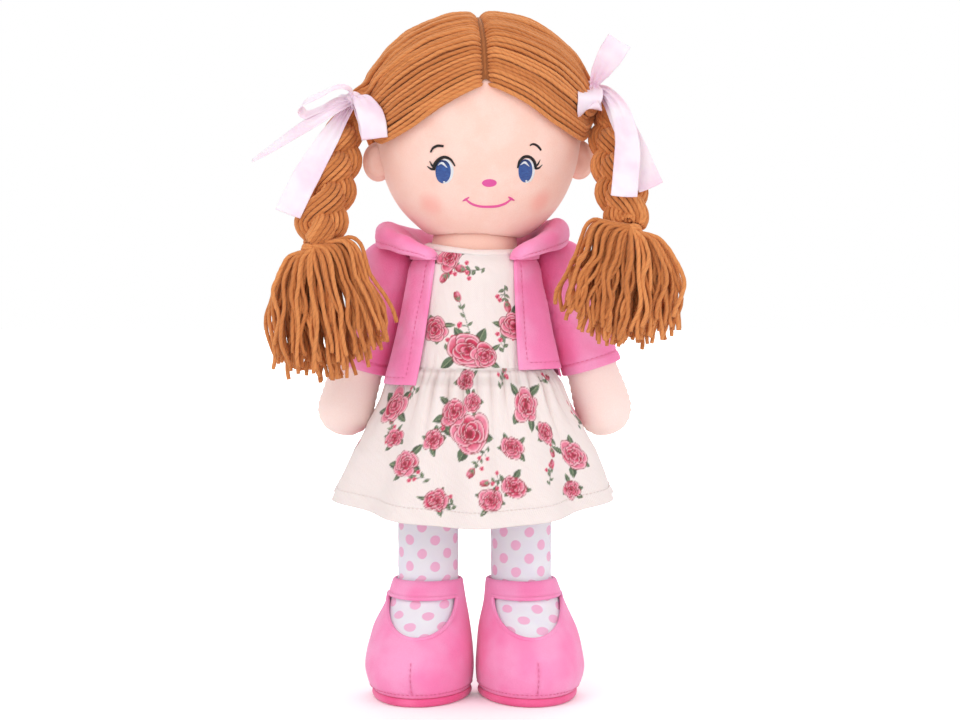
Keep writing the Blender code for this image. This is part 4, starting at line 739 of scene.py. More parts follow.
def stroke(name, line, widths, lift, material, count=60, base=0.00012):
    """Raised satin stitch along a line on the face, in millimetres from a place on it."""
    line = np.array(line, float)
    widths = np.interp(np.linspace(0, 1, count), np.linspace(0, 1, len(widths)), widths) * MM / 2
    curve = spline(np.column_stack([line * MM, np.zeros(len(line))]), count)[:, :2]
    along = unit(np.gradient(curve, axis=0))
    side = np.stack([-along[:, 1], along[:, 0]], 1)
    across = np.linspace(-1, 1, 11)
    x = curve[:, None, 0] + side[:, None, 0] * widths[:, None] * across
    h = curve[:, None, 1] + side[:, None, 1] * widths[:, None] * across
    raised = base + lift * np.sqrt(1 - across**2)[None] * np.minimum(widths / widths.max() + 0.3,
                                                                     1)[:, None]
    outer = from_head(face_point(x, h, raised))
    inner = from_head(face_point(x, h, np.full_like(raised, 0.00002)))
    length = along_line(curve)
    piece = slab(name, outer, inner, u=np.linspace(0, 2 * widths.max(), 12), v=length)
    piece.data.materials.append(material)
    return piece


def patch(name, centre, half, lift, material, power=2.0, tilt=0.0, rings=14, columns=72):
    """A raised oval of satin stitch on the face."""
    share = np.linspace(0.02, 1, rings)[:, None]
    angle = circle(columns)[None]
    ex = np.sign(np.cos(angle)) * np.abs(np.cos(angle)) ** (2 / power) * half[0] * share
    eh = np.sign(np.sin(angle)) * np.abs(np.sin(angle)) ** (2 / power) * half[1] * share
    x = (centre[0] + ex * math.cos(tilt) - eh * math.sin(tilt)) * MM
    h = (centre[1] + ex * math.sin(tilt) + eh * math.cos(tilt)) * MM
    raised = 0.0001 + lift * np.sqrt(np.clip(1 - share**4, 0, 1)) + 0 * angle
    points = from_head(face_point(x, h, raised))
    u = np.concatenate([x, x[:, :1]], 1)
    v = np.concatenate([h, h[:, :1]], 1)
    piece = surface(name, points, True, u=u, v=v, caps=(True, False))
    piece.data.materials.append(material)
    return piece


def joined(name, pieces):
    """Several painted pieces as one object."""
    bpy.ops.object.select_all(action="DESELECT")
    for piece in pieces:
        piece.select_set(True)
    bpy.context.view_layer.objects.active = pieces[0]
    bpy.ops.object.join()
    pieces[0].name = name
    return pieces[0]


EYE_HEIGHT = 44.2


def iris_finish():
    """Blue satin stitch, darker towards the lid."""
    f = Finish("iris_stitch", 0.4, Sheen_Weight=0.15)
    x, h, _ = f.parts(f.uv())
    rows = f.waves(h, 0.00036)
    drift = f.noise(f.node("CombineXYZ", {0: f.times(x, 400.0), 1: f.times(h, 1400.0)}), 1.0)
    top = f.share(h, (EYE_HEIGHT + 2.0) * MM, (EYE_HEIGHT + 6.0) * MM)
    colour = f.ramp(drift, 0.3, 0.7, srgb(34, 72, 148), srgb(54, 102, 178))
    colour = f.mix(top, colour, srgb(24, 50, 112))
    f.colour(f.mix(f.share(rows, -1, 1, 0.0, 0.22), colour, srgb(20, 44, 104)))
    f.bump(rows, 0.00009, 0.8)
    return f.material


FEATURES_ASIDE, NOSE_ASIDE = 1.6, 0.3
EYES = {
    "left": {
        "iris": (-23.9, EYE_HEIGHT),
        "lid": ((-5.5, 0.9), (-4.9, 3.6), (-2.8, 6.6), (0.4, 8.1), (3.9, 6.7), (6.4, 3.0)),
        "lid_widths": (1.7, 2.2, 1.9, 1.6, 1.2, 0.7),
        "lashes": (((-4.4, 2.6), (-6.2, 3.4), (-7.7, 6.0)), ((-4.6, 1.4), (-6.8, 1.5), (-9.0, 3.1))),
        "shine": ((-3.2, 3.5), (-0.9, 4.8), (2.0, 2.2)), "glint": (0.4, -5.9),
        "brow": ((-7.2, 10.9), (-5.9, 13.2), (-3.4, 14.5), (0.0, 14.3)),
    },
    "right": {
        "iris": (22.9, EYE_HEIGHT),
        "lid": ((-4.8, 1.5), (-3.6, 5.2), (-1.0, 7.7), (2.2, 7.7), (5.0, 5.2), (6.1, 1.0)),
        "lid_widths": (0.9, 1.7, 1.8, 1.8, 2.0, 1.6),
        "lashes": (((5.6, 2.4), (7.2, 3.5), (8.7, 6.2)), ((5.8, 1.2), (8.0, 1.5), (10.0, 3.3))),
        "shine": ((-3.2, 3.3), (-0.6, 4.6), (2.1, 2.4)), "glint": (0.5, -5.8),
        "brow": ((2.4, 14.3), (4.5, 15.0), (7.0, 13.9), (9.2, 11.5)),
    },
}


def make_face():
    black = thread_finish("black_stitch", srgb(2, 2, 4), srgb(20, 19, 22))
    white = thread_finish("white_stitch", srgb(236, 240, 250), srgb(255, 255, 255))
    rose = thread_finish("mouth_stitch", srgb(240, 62, 148), srgb(255, 118, 186))
    nose = thread_finish("nose_stitch", srgb(238, 48, 150), srgb(255, 122, 196), across=True)
    blue = iris_finish()
    for name, eye in EYES.items():
        cx, ch = eye["iris"]

        def at(points):
            return [(cx + x, ch + h) for x, h in points]

        parts = [
            patch("iris_" + name, (cx, ch), (4.4, 6.7), 0.00050, blue, power=2.1),
            patch("white_" + name, (cx + 0.85, ch + 0.05), (4.75, 6.95), 0.00030, white),
            stroke("shine_" + name, at(eye["shine"]), (0.3, 1.5, 0.4), 0.00045, white, 40, 0.00046),
            patch("glint_" + name, (cx + eye["glint"][0], ch + eye["glint"][1]), (0.75, 0.55), 0.00066,
                  white, rings=6, columns=24),
        ]
        whole = joined("stitched_iris_" + name, parts)
        finish_piece(whole, "head", None, "iris_thread", "iris_" + name)
        lids = [stroke("lid_" + name, at(eye["lid"]), eye["lid_widths"], 0.00062, black)]
        for n, lash in enumerate(eye["lashes"]):
            lids.append(stroke(f"lash_{name}_{n}", at(lash), (1.5, 1.1, 0.35), 0.00045, black, 30))
        finish_piece(joined("stitched_lid_" + name, lids), "head", None, "black_thread", "lid_" + name)
        brow = stroke("stitched_brow_" + name, at(eye["brow"]), (0.9, 1.4, 1.5, 1.3), 0.0005, black, 40)
        finish_piece(brow, "head", None, "black_thread", "brow_" + name)
    shift = FEATURES_ASIDE + NOSE_ASIDE
    oval = patch("stitched_nose", (shift, 37.4), (4.4, 2.3), 0.00085, nose)
    finish_piece(oval, "head", None, "pink_thread", "nose")
    top, low = 28.0, 23.9
    smile = [(-12.9, top), (-9.5, 25.6), (-5.0, 24.2), (0, low), (5.0, 24.2), (9.5, 25.6), (12.9, top)]
    parts = [stroke("smile", [(x + shift, h) for x, h in smile], (1.1, 1.4, 1.5, 1.5, 1.5, 1.4, 1.1),
                    0.00065, rose)]
    for side in (-1, 1):
        tick = [(side * 14.9, top - 0.7), (side * 13.2, top + 0.2), (side * 11.2, top + 1.5)]
        parts.append(stroke("tick", [(x + shift, h) for x, h in tick], (0.6, 1.6, 0.7), 0.0006, rose, 24))
    finish_piece(joined("stitched_mouth", parts), "head", None, "pink_thread", "mouth")


# Hair

def parting_way(theta, side, aside):
    """A way from the head's middle to the parting: theta runs from the face over the crown to the nape."""
    y, z = -np.cos(theta), np.sin(theta)
    return np.stack([np.full_like(y, side * aside), y, z], -1)


def hairline_ways(side, azimuths):
    """Ways to the hair's edge at azimuths from the face."""
    share = smooth(azimuths, HAIRLINE_AZIMUTHS, HAIRLINE_HEIGHTS)
    height = CHIN + (FACE_DROP + CROWN_HEIGHT) * share
    rise = height - HEAD_MIDDLE
    n, reach = head_shape(rise >= 0)
    ring = (1 - (np.abs(rise) / reach) ** n) ** (1 / n)
    a = np.radians(azimuths)
    return unit(np.stack([side * HEAD_HALF_WIDTH * ring * np.sin(a), -HEAD_HALF_DEPTH * ring * np.cos(a),
                          rise], -1))


def slerp(a, b, t):
    """Ways between two ways, along the shorter turn."""
    angle = np.arccos(np.clip(np.sum(a * b, -1, keepdims=True), -1, 1))
    angle = np.maximum(angle, 1e-6)
    return (np.sin((1 - t) * angle) * a + np.sin(t * angle) * b) / np.sin(angle)


def hair_lines(side, layer, rng):
    """Lines of the yarn from the parting to the tie, in the head's frame."""
    first, last = math.radians(18.3), math.radians(236)
    fine = np.linspace(first, last, 400)
    path = on_head(unit(parting_way(fine, side, 0.02)), np.full(400, HAIR_THICKNESS))
    length = along_line(path)
    spacing = 0.00240
    count = int(length[-1] / spacing)
    at = (np.arange(count) + 0.5 * (layer % 2)) * length[-1] / count
    at = at + 0.0006 * np.sin(at / 0.0034) * np.sin(at / 0.0131 + side)
    theta = np.interp(at, length, fine) + rng.normal(0, 0.0025, count)
    theta = np.clip(theta, first, last)
    start = unit(parting_way(theta, side, 0.014))
    tie = unit(np.array([side * 1.0, 0.0, 0.035]))
    s = np.linspace(0, 1, 64)
    ways = slerp(start[:, None], tie[None, None], s[None, :, None])
    front = slerp(start[0][None], tie[None], s[:, None])
    back = slerp(start[-1][None], tie[None], s[:, None])
    front_edge = hairline_ways(side, np.interp(s, [0, 1], [1.5, 88]))
    back_edge = hairline_ways(side, np.interp(s, [0, 1], [178.5, 94]))
    lift = step(0.72, 1.0, s)[:, None]
    front_edge = unit(front_edge * (1 - lift) + tie * lift)
    back_edge = unit(back_edge * (1 - lift) + tie * lift)
    share = at / length[-1]
    to_front = (np.clip(1 - share / 0.42, 0, 1) ** 1.5)[:, None, None]
    to_back = (np.clip((share - 0.50) / 0.50, 0, 1) ** 1.5)[:, None, None]
    ways = unit(ways + (front_edge - front)[None] * to_front + (back_edge - back)[None] * to_back)
    near_tie = np.arccos(np.clip(ways @ tie, -1, 1)) * 0.056
    rank = rng.uniform(0, 1, count)[:, None]
    base = 0.0036 - 0.0021 * layer
    rise_in = step(0, 0.05, s)[None]
    pile = rank * (0.0013 + 0.0026 * step(0.036, 0.006, near_tie)) * step(0, 0.12, s)[None]
    gather = step(0.0125, 0.0, near_tie) * (ROOT_OUT + 0.001) * 0.9
    offset = 0.0002 + (base - 0.0002) * rise_in + pile + gather
    offset = offset + wobble(ways * 0.06, 0.016, 8 + layer) * 0.0003
    points = on_head(ways, offset)
    points += rng.normal(0, 0.00012, (count, 1, 3))
    drift = wobble(points * np.array([1, 0.6, 1]) + rank[..., None] * 0.05, 0.045, 12 + layer) * 0.0007
    points += np.array([0, 0.6, 0.8]) * (drift * step(0.05, 0.3, s) * step(1.0, 0.8, s))[..., None]
    keep = side * points[..., 0]
    points[..., 0] = side * np.maximum(keep, 0.0004)
    return points


def make_hair(yarn, painted_shade_yarn):
    rng = np.random.default_rng(11)
    for name, side in SIDES:
        top = from_head(hair_lines(side, 0, rng))
        under = from_head(hair_lines(side, 1, rng))
        lines = np.array([evenly(line, 60) for line in [*top, *under]])
        hair = yarns("hair_yarn_" + name, lines, YARN_RADIUS * 0.97, seed=5 + side)
        finish_piece(hair, "head", yarn, "yarn", "hair_" + name)
    make_hair_base(painted_shade_yarn)
    make_parting(painted_shade_yarn)


def make_hair_base(painted_shade_yarn):
    """A dark sheet just over the head and inside the hair's edge: painted shade that shows in the gaps
    between the strands of yarn.
    """
    rows, columns = 50, 121
    azimuth = np.linspace(-180, 180, columns)[None]
    share = smooth(np.abs(azimuth), HAIRLINE_AZIMUTHS, HAIRLINE_HEIGHTS)
    rise = CHIN + (FACE_DROP + CROWN_HEIGHT) * share - HEAD_MIDDLE + 0.0016
    n, reach = head_shape(rise >= 0)
    low = np.sign(rise) * np.arcsin((np.abs(rise) / reach) ** (n / 2))
    t = np.linspace(0, 1, rows)[:, None]
    angle = low + (PI / 2 - 0.01 - low) * t
    upper = angle >= 0
    n, reach = head_shape(upper)
    ring = np.cos(angle) ** (2 / n)
    height = np.sign(angle) * reach * np.abs(np.sin(angle)) ** (2 / n)
    a = np.radians(azimuth)
    thick = 0.0011
    points = np.stack([(HEAD_HALF_WIDTH + thick) * ring * np.sin(a),
                       -(HEAD_HALF_DEPTH + thick) * ring * np.cos(a),
                       HEAD_MIDDLE + height * (1 + thick / reach)], -1)
    base = surface("hair_base", from_head(points[:, :-1]), True, caps=(False, True))
    finish_piece(base, "head", painted_shade_yarn, "yarn")


def make_parting(painted_shade_yarn):
    """The sewn line of the parting, sunk between the two halves of the hair; its darker yarn is painted
    shade in the dip where the strands meet.
    """
    theta = np.linspace(math.radians(17), math.radians(237), 150)
    way = unit(parting_way(theta, 1, 0.0))
    line = on_head(way, np.full(150, 0.0006))
    seam = yarns("parting_tape", from_head(line)[None], 0.0010, 0.004, 8, 9)
    finish_piece(seam, "head", painted_shade_yarn, "yarn", "parting_seam")


def braid_frame(line):
    """Ways along, sideways and back of a braid's middle line."""
    along = unit(np.gradient(line, axis=0))
    across = unit(np.cross(np.array([0.0, 1.0, 0.0]), along))
    return along, across, np.cross(along, across)


def braid_middle(name, side, count):
    out = HEAD_HALF_WIDTH + SHELL_GAP + HAIR_THICKNESS + ROOT_OUT
    root = from_head(np.array([side * out, 0, HEAD_MIDDLE + ROOT_RISE]))
    drop, spread, forward = BRAID_REACHES[name]
    shares = np.array(((0, 0, 0), (0.16, 0.14, 0.20), (0.40, 0.42, 0.45), (0.66, 0.72, 0.72), (1, 1, 1)))
    return root, spline(root + shares * np.array([side * spread, -forward, -drop]), count)


def plait_yarns(side, line):
    """Yarns of the three bundles of a plait, each bundle full round its own middle."""
    _, across, depth = braid_frame(line)
    turn = -side * PLAIT_TURN
    across, depth = (across * math.cos(turn) + depth * math.sin(turn),
                     depth * math.cos(turn) - across * math.sin(turn))
    length = along_line(line)
    share = smooth(length / length[-1], (0, 0.10, 0.32, 0.60, 0.86, 1), (0.45, 0.55, 0.88, 1.0, 1.02, 0.62))
    lines = []
    for strand in range(3):
        phase = 2 * PI * (length / PLAIT_PITCH + strand / 3)
        aside = PLAIT_SWING * np.sin(phase) * share
        ahead = PLAIT_WEAVE * np.sin(2 * phase) * share
        middle = line + across * aside[:, None] + depth * ahead[:, None]
        way = unit(np.gradient(middle, axis=0))
        wide = unit(np.cross(way, depth))
        deep = np.cross(way, wide)
        wave = 0.25 * np.sin(length / 0.013 + strand)
        spots = [(0.0, 0.0)]
        spots += [(0.52, a) for a in np.arange(5) * 2 * PI / 5]
        spots += [(1.0, a + 0.2) for a in np.arange(15) * 2 * PI / 15]
        for reach, angle in spots:
            a = angle + wave + length / 0.12
            w = (BUNDLE_HALF_WIDTH + 0.0010 - YARN_RADIUS) * reach
            d = (BUNDLE_HALF_DEPTH + 0.0012 - YARN_RADIUS) * reach
            lines.append(middle + (wide * (w * np.cos(a))[:, None] + deep * (d * np.sin(a))[:, None])
                         * share[:, None])
    return np.array(lines)


def tassel_lines(name, side, top, across, depth, rng, count=138, n=40):
    """Loose yarn ends: they fan from the tie, arch over towards the body, and hang apart."""
    lines = []
    tall, lean = TASSEL_REACHES[name]
    s = np.linspace(0, 1, n)
    drops = np.array((0, 0.04, 0.12, 0.24, 0.42, 0.62, 0.82, 1))
    widths = np.array((0.06, 0.30, 0.52, 0.71, 0.87, 0.96, 1, 1))
    for i in range(count):
        reach = math.sqrt((i + 0.5) / count)
        angle = i * 2.39996 + rng.uniform(-0.2, 0.2)
        inward = max(0.0, -side * math.cos(angle)) * reach
        size = np.interp(s, drops, widths) * rng.uniform(0.93, 1.04)
        longer = rng.uniform(0.97, 1.19) - 0.03 * (side > 0) - 0.15 * reach**2 - 0.28 * inward**1.5
        dome = (0.0008 * reach + 0.0125 * inward) * np.sin(np.clip(s / (0.22 + 0.16 * inward), 0, 1) * PI)
        x = math.cos(angle) * (TASSEL_HALF_WIDTH - YARN_RADIUS) * reach * size - side * lean * s
        y = math.sin(angle) * (TASSEL_HALF_DEPTH - YARN_RADIUS) * reach * size
        z = -tall * longer * s**1.06 + dome
        line = top + np.stack([x, y, z], 1)
        start = (across * math.cos(angle) + depth * math.sin(angle)) * WRAP_RADIUS * 0.6 * reach
        line += start * (1 - step(0, 0.10, s))[:, None]
        sway = wobble(line * np.array([1, 1, 0.5]) + rng.uniform(0, 1, 3), 0.050, 31, 3)
        curl = wobble(line * np.array([1, 1, 0.6]) + rng.uniform(0, 1, 3), 0.045, 32, 3)
        line += np.stack([sway, curl, 0 * s], 1) * 0.0030 * step(0.10, 0.8, s)[:, None]
        crimp = wobble(line * np.array([1, 1, 0.9]) + rng.uniform(0, 1, 3), 0.017, 33, 2)
        line[:, 0] += crimp * 0.0013 * step(0.12, 0.5, s)
        lines.append(evenly(line, n))
    return np.array(lines)


def make_braids(yarn, satin):
    rng = np.random.default_rng(21)
    for name, side in SIDES:
        _, line = braid_middle(name, side, 90)
        along, across, depth = braid_frame(line)
        body = "braid_" + name
        lines = plait_yarns(side, line)
        third = len(lines) // 3
        for k, letter in enumerate("abc"):
            bundle = yarns(f"braid_yarn_{name}_{letter}", lines[k * third : (k + 1) * third], seed=40 + k)
            finish_piece(bundle, body, yarn, "yarn", f"braid_{name}_{letter}")
        end = line[-1]
        turns = np.linspace(0, 2.6 * 2 * PI, 90)
        wound = []
        for a in turns:
            radius = WRAP_RADIUS * 0.86 - YARN_RADIUS
            wound.append(end + along[-1] * (0.0014 + (WRAP_HEIGHT - 0.0026) * a / turns[-1])
                         + (across[-1] * math.cos(a) + depth[-1] * math.sin(a)) * radius)
        wrap = yarns("wrap_yarn_" + name, np.array(wound)[None], seed=3)
        finish_piece(wrap, body, yarn, "yarn", "braid_wrap_" + name)
        top = end + along[-1] * (WRAP_HEIGHT * 0.35)
        loose = tassel_lines(name, side, top, across[-1], depth[-1], rng)
        tassel = yarns("tassel_yarn_" + name, loose, YARN_RADIUS * 0.92, seed=60 + side, blunt=0.85)
        finish_piece(tassel, body, yarn, "yarn", "tassel_" + name)
        make_bow(name, side, line, along, across, depth, satin)


# Ribbons

KNOT_SHIFTS = {"left": (1.8, 0, -1.8), "right": (-6.6, 0, 1.6)}
LEFT_LOOPS = (
    (((0, -1.9, 1.6), (4, -9, 1.4), (8.5, -15.5, -5), (11.6, -18.2, -13), (12.5, -19.2, -20.6),
      (12.5, -18.4, -22.2),
      (12.2, -17.2, -20.4), (9.5, -14, -12), (4.5, -8, -5), (0.5, -1.6, -2.9)), (1, 0.12, 0.14)),
    (((0, -2.5, 0), (-2.5, -3, 6.5), (-9, -4, 7.6), (-18, -5, 3.6), (-27, -5.5, -0.8), (-30.5, -5, -4.8),
      (-27, -4, -8), (-19, -3.5, -5.2), (-9, -2, 0), (0, 0, -1)), (0.12, 1, 0.34)),
)
RIGHT_LOOPS = (
    (((0, -2.5, 0.6), (2.2, -5, 6), (6.2, -8, 13), (11, -9, 21), (14.4, -8, 26.4), (14.8, -7, 27.2),
      (14.2, -6, 26.2), (10, -4, 19.5), (5.4, -2.5, 11.5), (1.6, -1, 4.5), (0.4, -0.5, 1.4)),
     (0.83, 0.20, -0.54)),
    (((0, -2, 1.6), (-1.2, -12.5, -2), (-3.2, -18, -6.5), (-3.8, -18, -11.5), (-2.8, -15, -12),
      (-1.2, -8, -6.5), (0, -1, -2.5)),
     (0.75, 0.6, 0.3)),
)
LEFT_TAILS = (
    (((0, -1, 0), (-14, -10, -6.5), (-34, -14, -19), (-57, -14, -34)),
     ((-0.4, 0.35, 0.8), (-0.3, 0.75, 0.55), (-0.2, 0.9, 0.35), (-0.05, 1, 0.12))),
    (((0, 0, 0), (-8, -7, -12), (-18, -16, -29), (-27, -22, -45), (-36.5, -28, -65)),
     ((0.7, 0.3, -0.5), (0.9, 0.2, -0.45), (0.95, 0.1, -0.4), (0.95, 0.1, -0.35), (0.95, 0.1, -0.3))),
)
RIGHT_TAILS = (
    (((0, 0, 0), (7.8, -9.5, -2.5), (15.2, -19, -14), (18.4, -32, -32), (17, -45, -50), (15.5, -53, -62)),
     ((0.5, 0, 0.9), (0.7, 0, 0.65), (0.95, 0.05, 0.2), (1, 0.1, 0), (1, 0.1, -0.05), (1, 0.1, -0.1))),
    (((0, 0, 0), (9, -9, -7), (18, -20, -24), (26, -32, -44), (31.5, -41, -57)),
     ((0.6, 0, 0.8), (0.8, 0, 0.6), (0.9, 0, 0.42), (0.9, 0.1, 0.42), (0.9, 0.2, 0.42))),
)


def ribbon(name, points, ways, shares, count, satin, slant=0.0, cup=0.0):
    """A strip of ribbon along a smooth line, gathered at its ends by shares of its width."""
    line = spline(points, count)
    t = np.linspace(0, 1, count)
    ways = unit(np.array(ways, float))
    way = np.stack([np.interp(t, np.linspace(0, 1, len(ways)), ways[:, k]) for k in range(3)], 1)
    along = unit(np.gradient(line, axis=0))
    normal = unit(np.cross(along, way))
    wide = unit(np.cross(normal, along))
    half = np.interp(t, np.linspace(0, 1, len(shares)), shares) * RIBBON_WIDTH / 2
    across = np.linspace(-1, 1, 21)
    gathered = np.clip(1 - half / (RIBBON_WIDTH / 2), 0, 1)
    ripple = 0.0011 * gathered[:, None] * np.sin(across[None] * 8) + cup * (across[None] ** 2 - 0.4)
    points = (line[:, None] + wide[:, None] * (half[:, None] * across)[..., None] + normal[:, None]
              * ripple[..., None])
    ahead = (across * slant)[None] * step(0.86, 1.0, t)[:, None]
    points += along[:, None] * (ahead * RIBBON_WIDTH / 2)[..., None]
    points += normal[:, None] * (wobble(points, 0.03, 77) * 0.0004 * step(0.1, 0.4, t)[:, None])[..., None]
    thick = 0.00016
    length = along_line(line)
    piece = slab(name, points + normal[:, None] * thick, points - normal[:, None] * thick,
                 u=np.linspace(0, RIBBON_WIDTH, 22), v=length)
    piece.data.materials.append(satin)
    return piece, length[-1]


def make_bow(name, side, line, along, across, depth, satin):
    root = line[0]
    inside = 0.0078
    forward = inside + 0.0004 + KNOT_HALF_DEPTH
    knot = root + along[1] * KNOT_RADIUS / 2 - depth[1] * forward + np.array(KNOT_SHIFTS[name]) * MM
    parts, total = [], 0.0
    loops, tails = (LEFT_LOOPS, LEFT_TAILS) if side < 0 else (RIGHT_LOOPS, RIGHT_TAILS)
    for n, (shares, way) in enumerate(loops):
        points = knot + np.array(shares) * MM
        piece, length = ribbon(f"loop_{name}_{n}", points, [way, way], (0.25, 0.75, 1, 1, 1, 0.75, 0.25),
                               90, satin)
        parts.append(piece)
        total += length
    for n, (shares, ways) in enumerate(tails):
        points = knot + np.array(shares) * MM
        piece, length = ribbon(f"tail_{name}_{n}", points, ways, (0.25, 0.75, 1, 1), 80, satin,
                               slant=-0.10 if n else -0.12, cup=0.0008)
        parts.append(piece)
        total += length
    turn = circle(48)
    rows = []
    for share in np.linspace(0, 1, 9):
        radius = inside + 0.0006 * math.sin(share * PI)
        centre = root + along[1] * (KNOT_RADIUS * share * 1.2)
        rows.append(centre + (across[1][None] * np.cos(turn)[:, None] + depth[1][None]
                              * np.sin(turn)[:, None]) * radius)
    outer = np.array(rows)
    band = slab("band_" + name, outer, outer + (root - outer) * 0.04, True, u=np.linspace(0, 0.05, 49),
                v=np.linspace(0, 0.006, 9))
    band.data.materials.append(satin)
    parts.append(band)
    a = np.linspace(-PI / 2 + 0.1, PI / 2 - 0.1, 20)[:, None]
    b = circle(40)[None]
    crease = 1 + 0.10 * np.sin(3 * b + 4 * a) * np.cos(a)
    ball = np.stack([np.cos(a) * np.cos(b) * KNOT_RADIUS * crease,
                     np.cos(a) * np.sin(b) * KNOT_HALF_DEPTH * 1.15 * crease,
                     np.sin(a) * KNOT_RADIUS + 0 * b], -1)
    tied = surface("tied_" + name, knot + ball, True, u=np.linspace(0, 0.03, 41),
                   v=np.linspace(0, 0.012, 20), caps=(True, True))
    tied.data.materials.append(satin)
    parts.append(tied)
    bow = joined("satin_ribbon_" + name, parts)
    finish_piece(bow, "braid_" + name, None, "satin", "ribbon_" + name)
    return bow


# Body and clothes

def torso_sizes(height):
    share = (np.asarray(height, float) - TORSO_BOTTOM) / TORSO_HEIGHT
    return (HIP_HALF_WIDTH * smooth(share, TORSO_LEVELS, TORSO_WIDTHS),
            HIP_HALF_DEPTH * smooth(share, TORSO_LEVELS, TORSO_DEPTHS))


def torso_point(height, angle, offset):
    """A point at a distance outside the torso; the angle runs from the back."""
    half_width, half_depth = torso_sizes(height)
    x = (half_width + offset) * np.sin(angle)
    y = (half_depth + offset) * np.cos(angle)
    return np.stack(np.broadcast_arrays(x, y, height), -1).astype(float)


def arm_radius(along):
    return smooth(along, (0, SLEEVE_LENGTH, ARM_LENGTH - HAND_RADIUS),
                  (SHOULDER_RADIUS, WRIST_RADIUS, HAND_RADIUS))


def room_profile():
    """How far out the body may reach beside each shoulder, by the distance from the arm's axis."""
    reach = ARM_LENGTH * np.concatenate([np.linspace(0, 0.21, 40), np.linspace(0.22, 1, 30)])
    along = reach / math.cos(ARM_SPREAD)
    cut = np.minimum(along, SLEEVE_LENGTH)
    radius = arm_radius(cut) + SHELL_GAP + SLEEVE_THICKNESS + (CUFF_THICKNESS
                                                               - SLEEVE_THICKNESS) * cut / SLEEVE_LENGTH
    x = SHOULDER_X + math.tan(ARM_SPREAD) * reach - (radius + GAP) / math.cos(ARM_SPREAD)
    ball = SHOULDER_X - np.sqrt(np.clip(SOCKET_RADIUS**2 - reach**2, 0, None))
    return reach, np.where(reach < SOCKET_RADIUS, np.minimum(x, ball), x)


ROOM_REACH, ROOM_X = room_profile()


def dented(points, depth):
    """Press a body surface in beside the shoulders, to a depth under the room that the arms need."""
    reach = np.hypot(points[..., 1] - SHOULDER_Y, points[..., 2] - SHOULDER_HEIGHT)
    limit = np.interp(reach, ROOM_REACH, ROOM_X, right=1.0) - depth
    x = points[..., 0]
    points[..., 0] = np.sign(x) * np.minimum(np.abs(x), limit)
    return points


# The print: each motif is painted in its own flat place on the cloth

CREAM = np.array(srgb(247, 235, 232)[:3])
DEEP_ROSE, ROSE, PALE_ROSE, BLUSH = (np.array(srgb(*c)[:3]) for c in (
    (160, 12, 48), (216, 44, 90), (242, 132, 160), (253, 206, 216)))
LEAF_DARK, LEAF, LEAF_PALE = (np.array(srgb(*c)[:3])
                              for c in ((48, 70, 52), (96, 122, 92), (164, 178, 140)))


class Cloth:
    """Flat cloth whose points carry colour; places are in metres."""

    def __init__(self, angle, height, radius):
        self.angle, self.height, self.radius = angle.ravel(), height.ravel(), radius.ravel()
        self.colour = np.tile(CREAM, (self.angle.size, 1))

    def local(self, centre, size):
        """Indices near a centre, with their places in millimetres from it."""
        turn = (self.angle - centre[0] + PI) % (2 * PI) - PI
        x = turn * self.radius
        y = self.height - centre[1]
        at = np.nonzero((np.abs(x) < size * MM) & (np.abs(y) < size * MM))[0]
        return at, x[at] / MM, y[at] / MM

    def paint(self, at, share, colour):
        share = np.clip(share, 0, 1)[:, None]
        self.colour[at] = self.colour[at] * (1 - share) + np.asarray(colour) * share


def turned(x, y, cx, cy, angle):
    x, y = x - cx, y - cy
    return x * math.cos(angle) + y * math.sin(angle), y * math.cos(angle) - x * math.sin(angle)


def edge(distance, soft=0.35):
    """1 inside a shape and 0 outside it, from a distance in millimetres that is negative inside."""
    return np.clip(0.5 - distance / soft, 0, 1)


def leaf(cloth, at, x, y, cx, cy, angle, length, width):
    u, v = turned(x, y, cx, cy, angle)
    t = u / length
    half = width * np.sin(PI * np.clip(t, 0, 1)) ** 0.8 * (1 - 0.35 * t)
    inside = edge(np.abs(v) - half) * (t > 0) * (t < 1)
    side = 0.5 + 0.5 * np.tanh(v / 0.25)
    vein = np.abs((np.abs(v) * 0.9 - u * 0.55) % 1.5 - 0.75)
    tone = np.clip(0.25 + 0.5 * side + 0.25 * (vein > 0.5), 0, 1)[:, None]
    colour = LEAF_DARK * (1 - tone) + LEAF * tone
    cloth.paint(at, inside, colour)
    cloth.paint(at, inside * edge(np.abs(v) - 0.16, 0.3) * 0.8, LEAF_PALE)


def stem(cloth, at, x, y, points, width=0.42):
    line = spline(np.column_stack([np.array(points, float), np.zeros(len(points))]), 24)[:, :2]
    near_line = np.full(x.shape, 9.0)
    for px, py in line:
        near_line = np.minimum(near_line, np.hypot(x - px, y - py))
    cloth.paint(at, edge(near_line - width) * 0.95, LEAF_DARK * 0.6 + LEAF * 0.4)


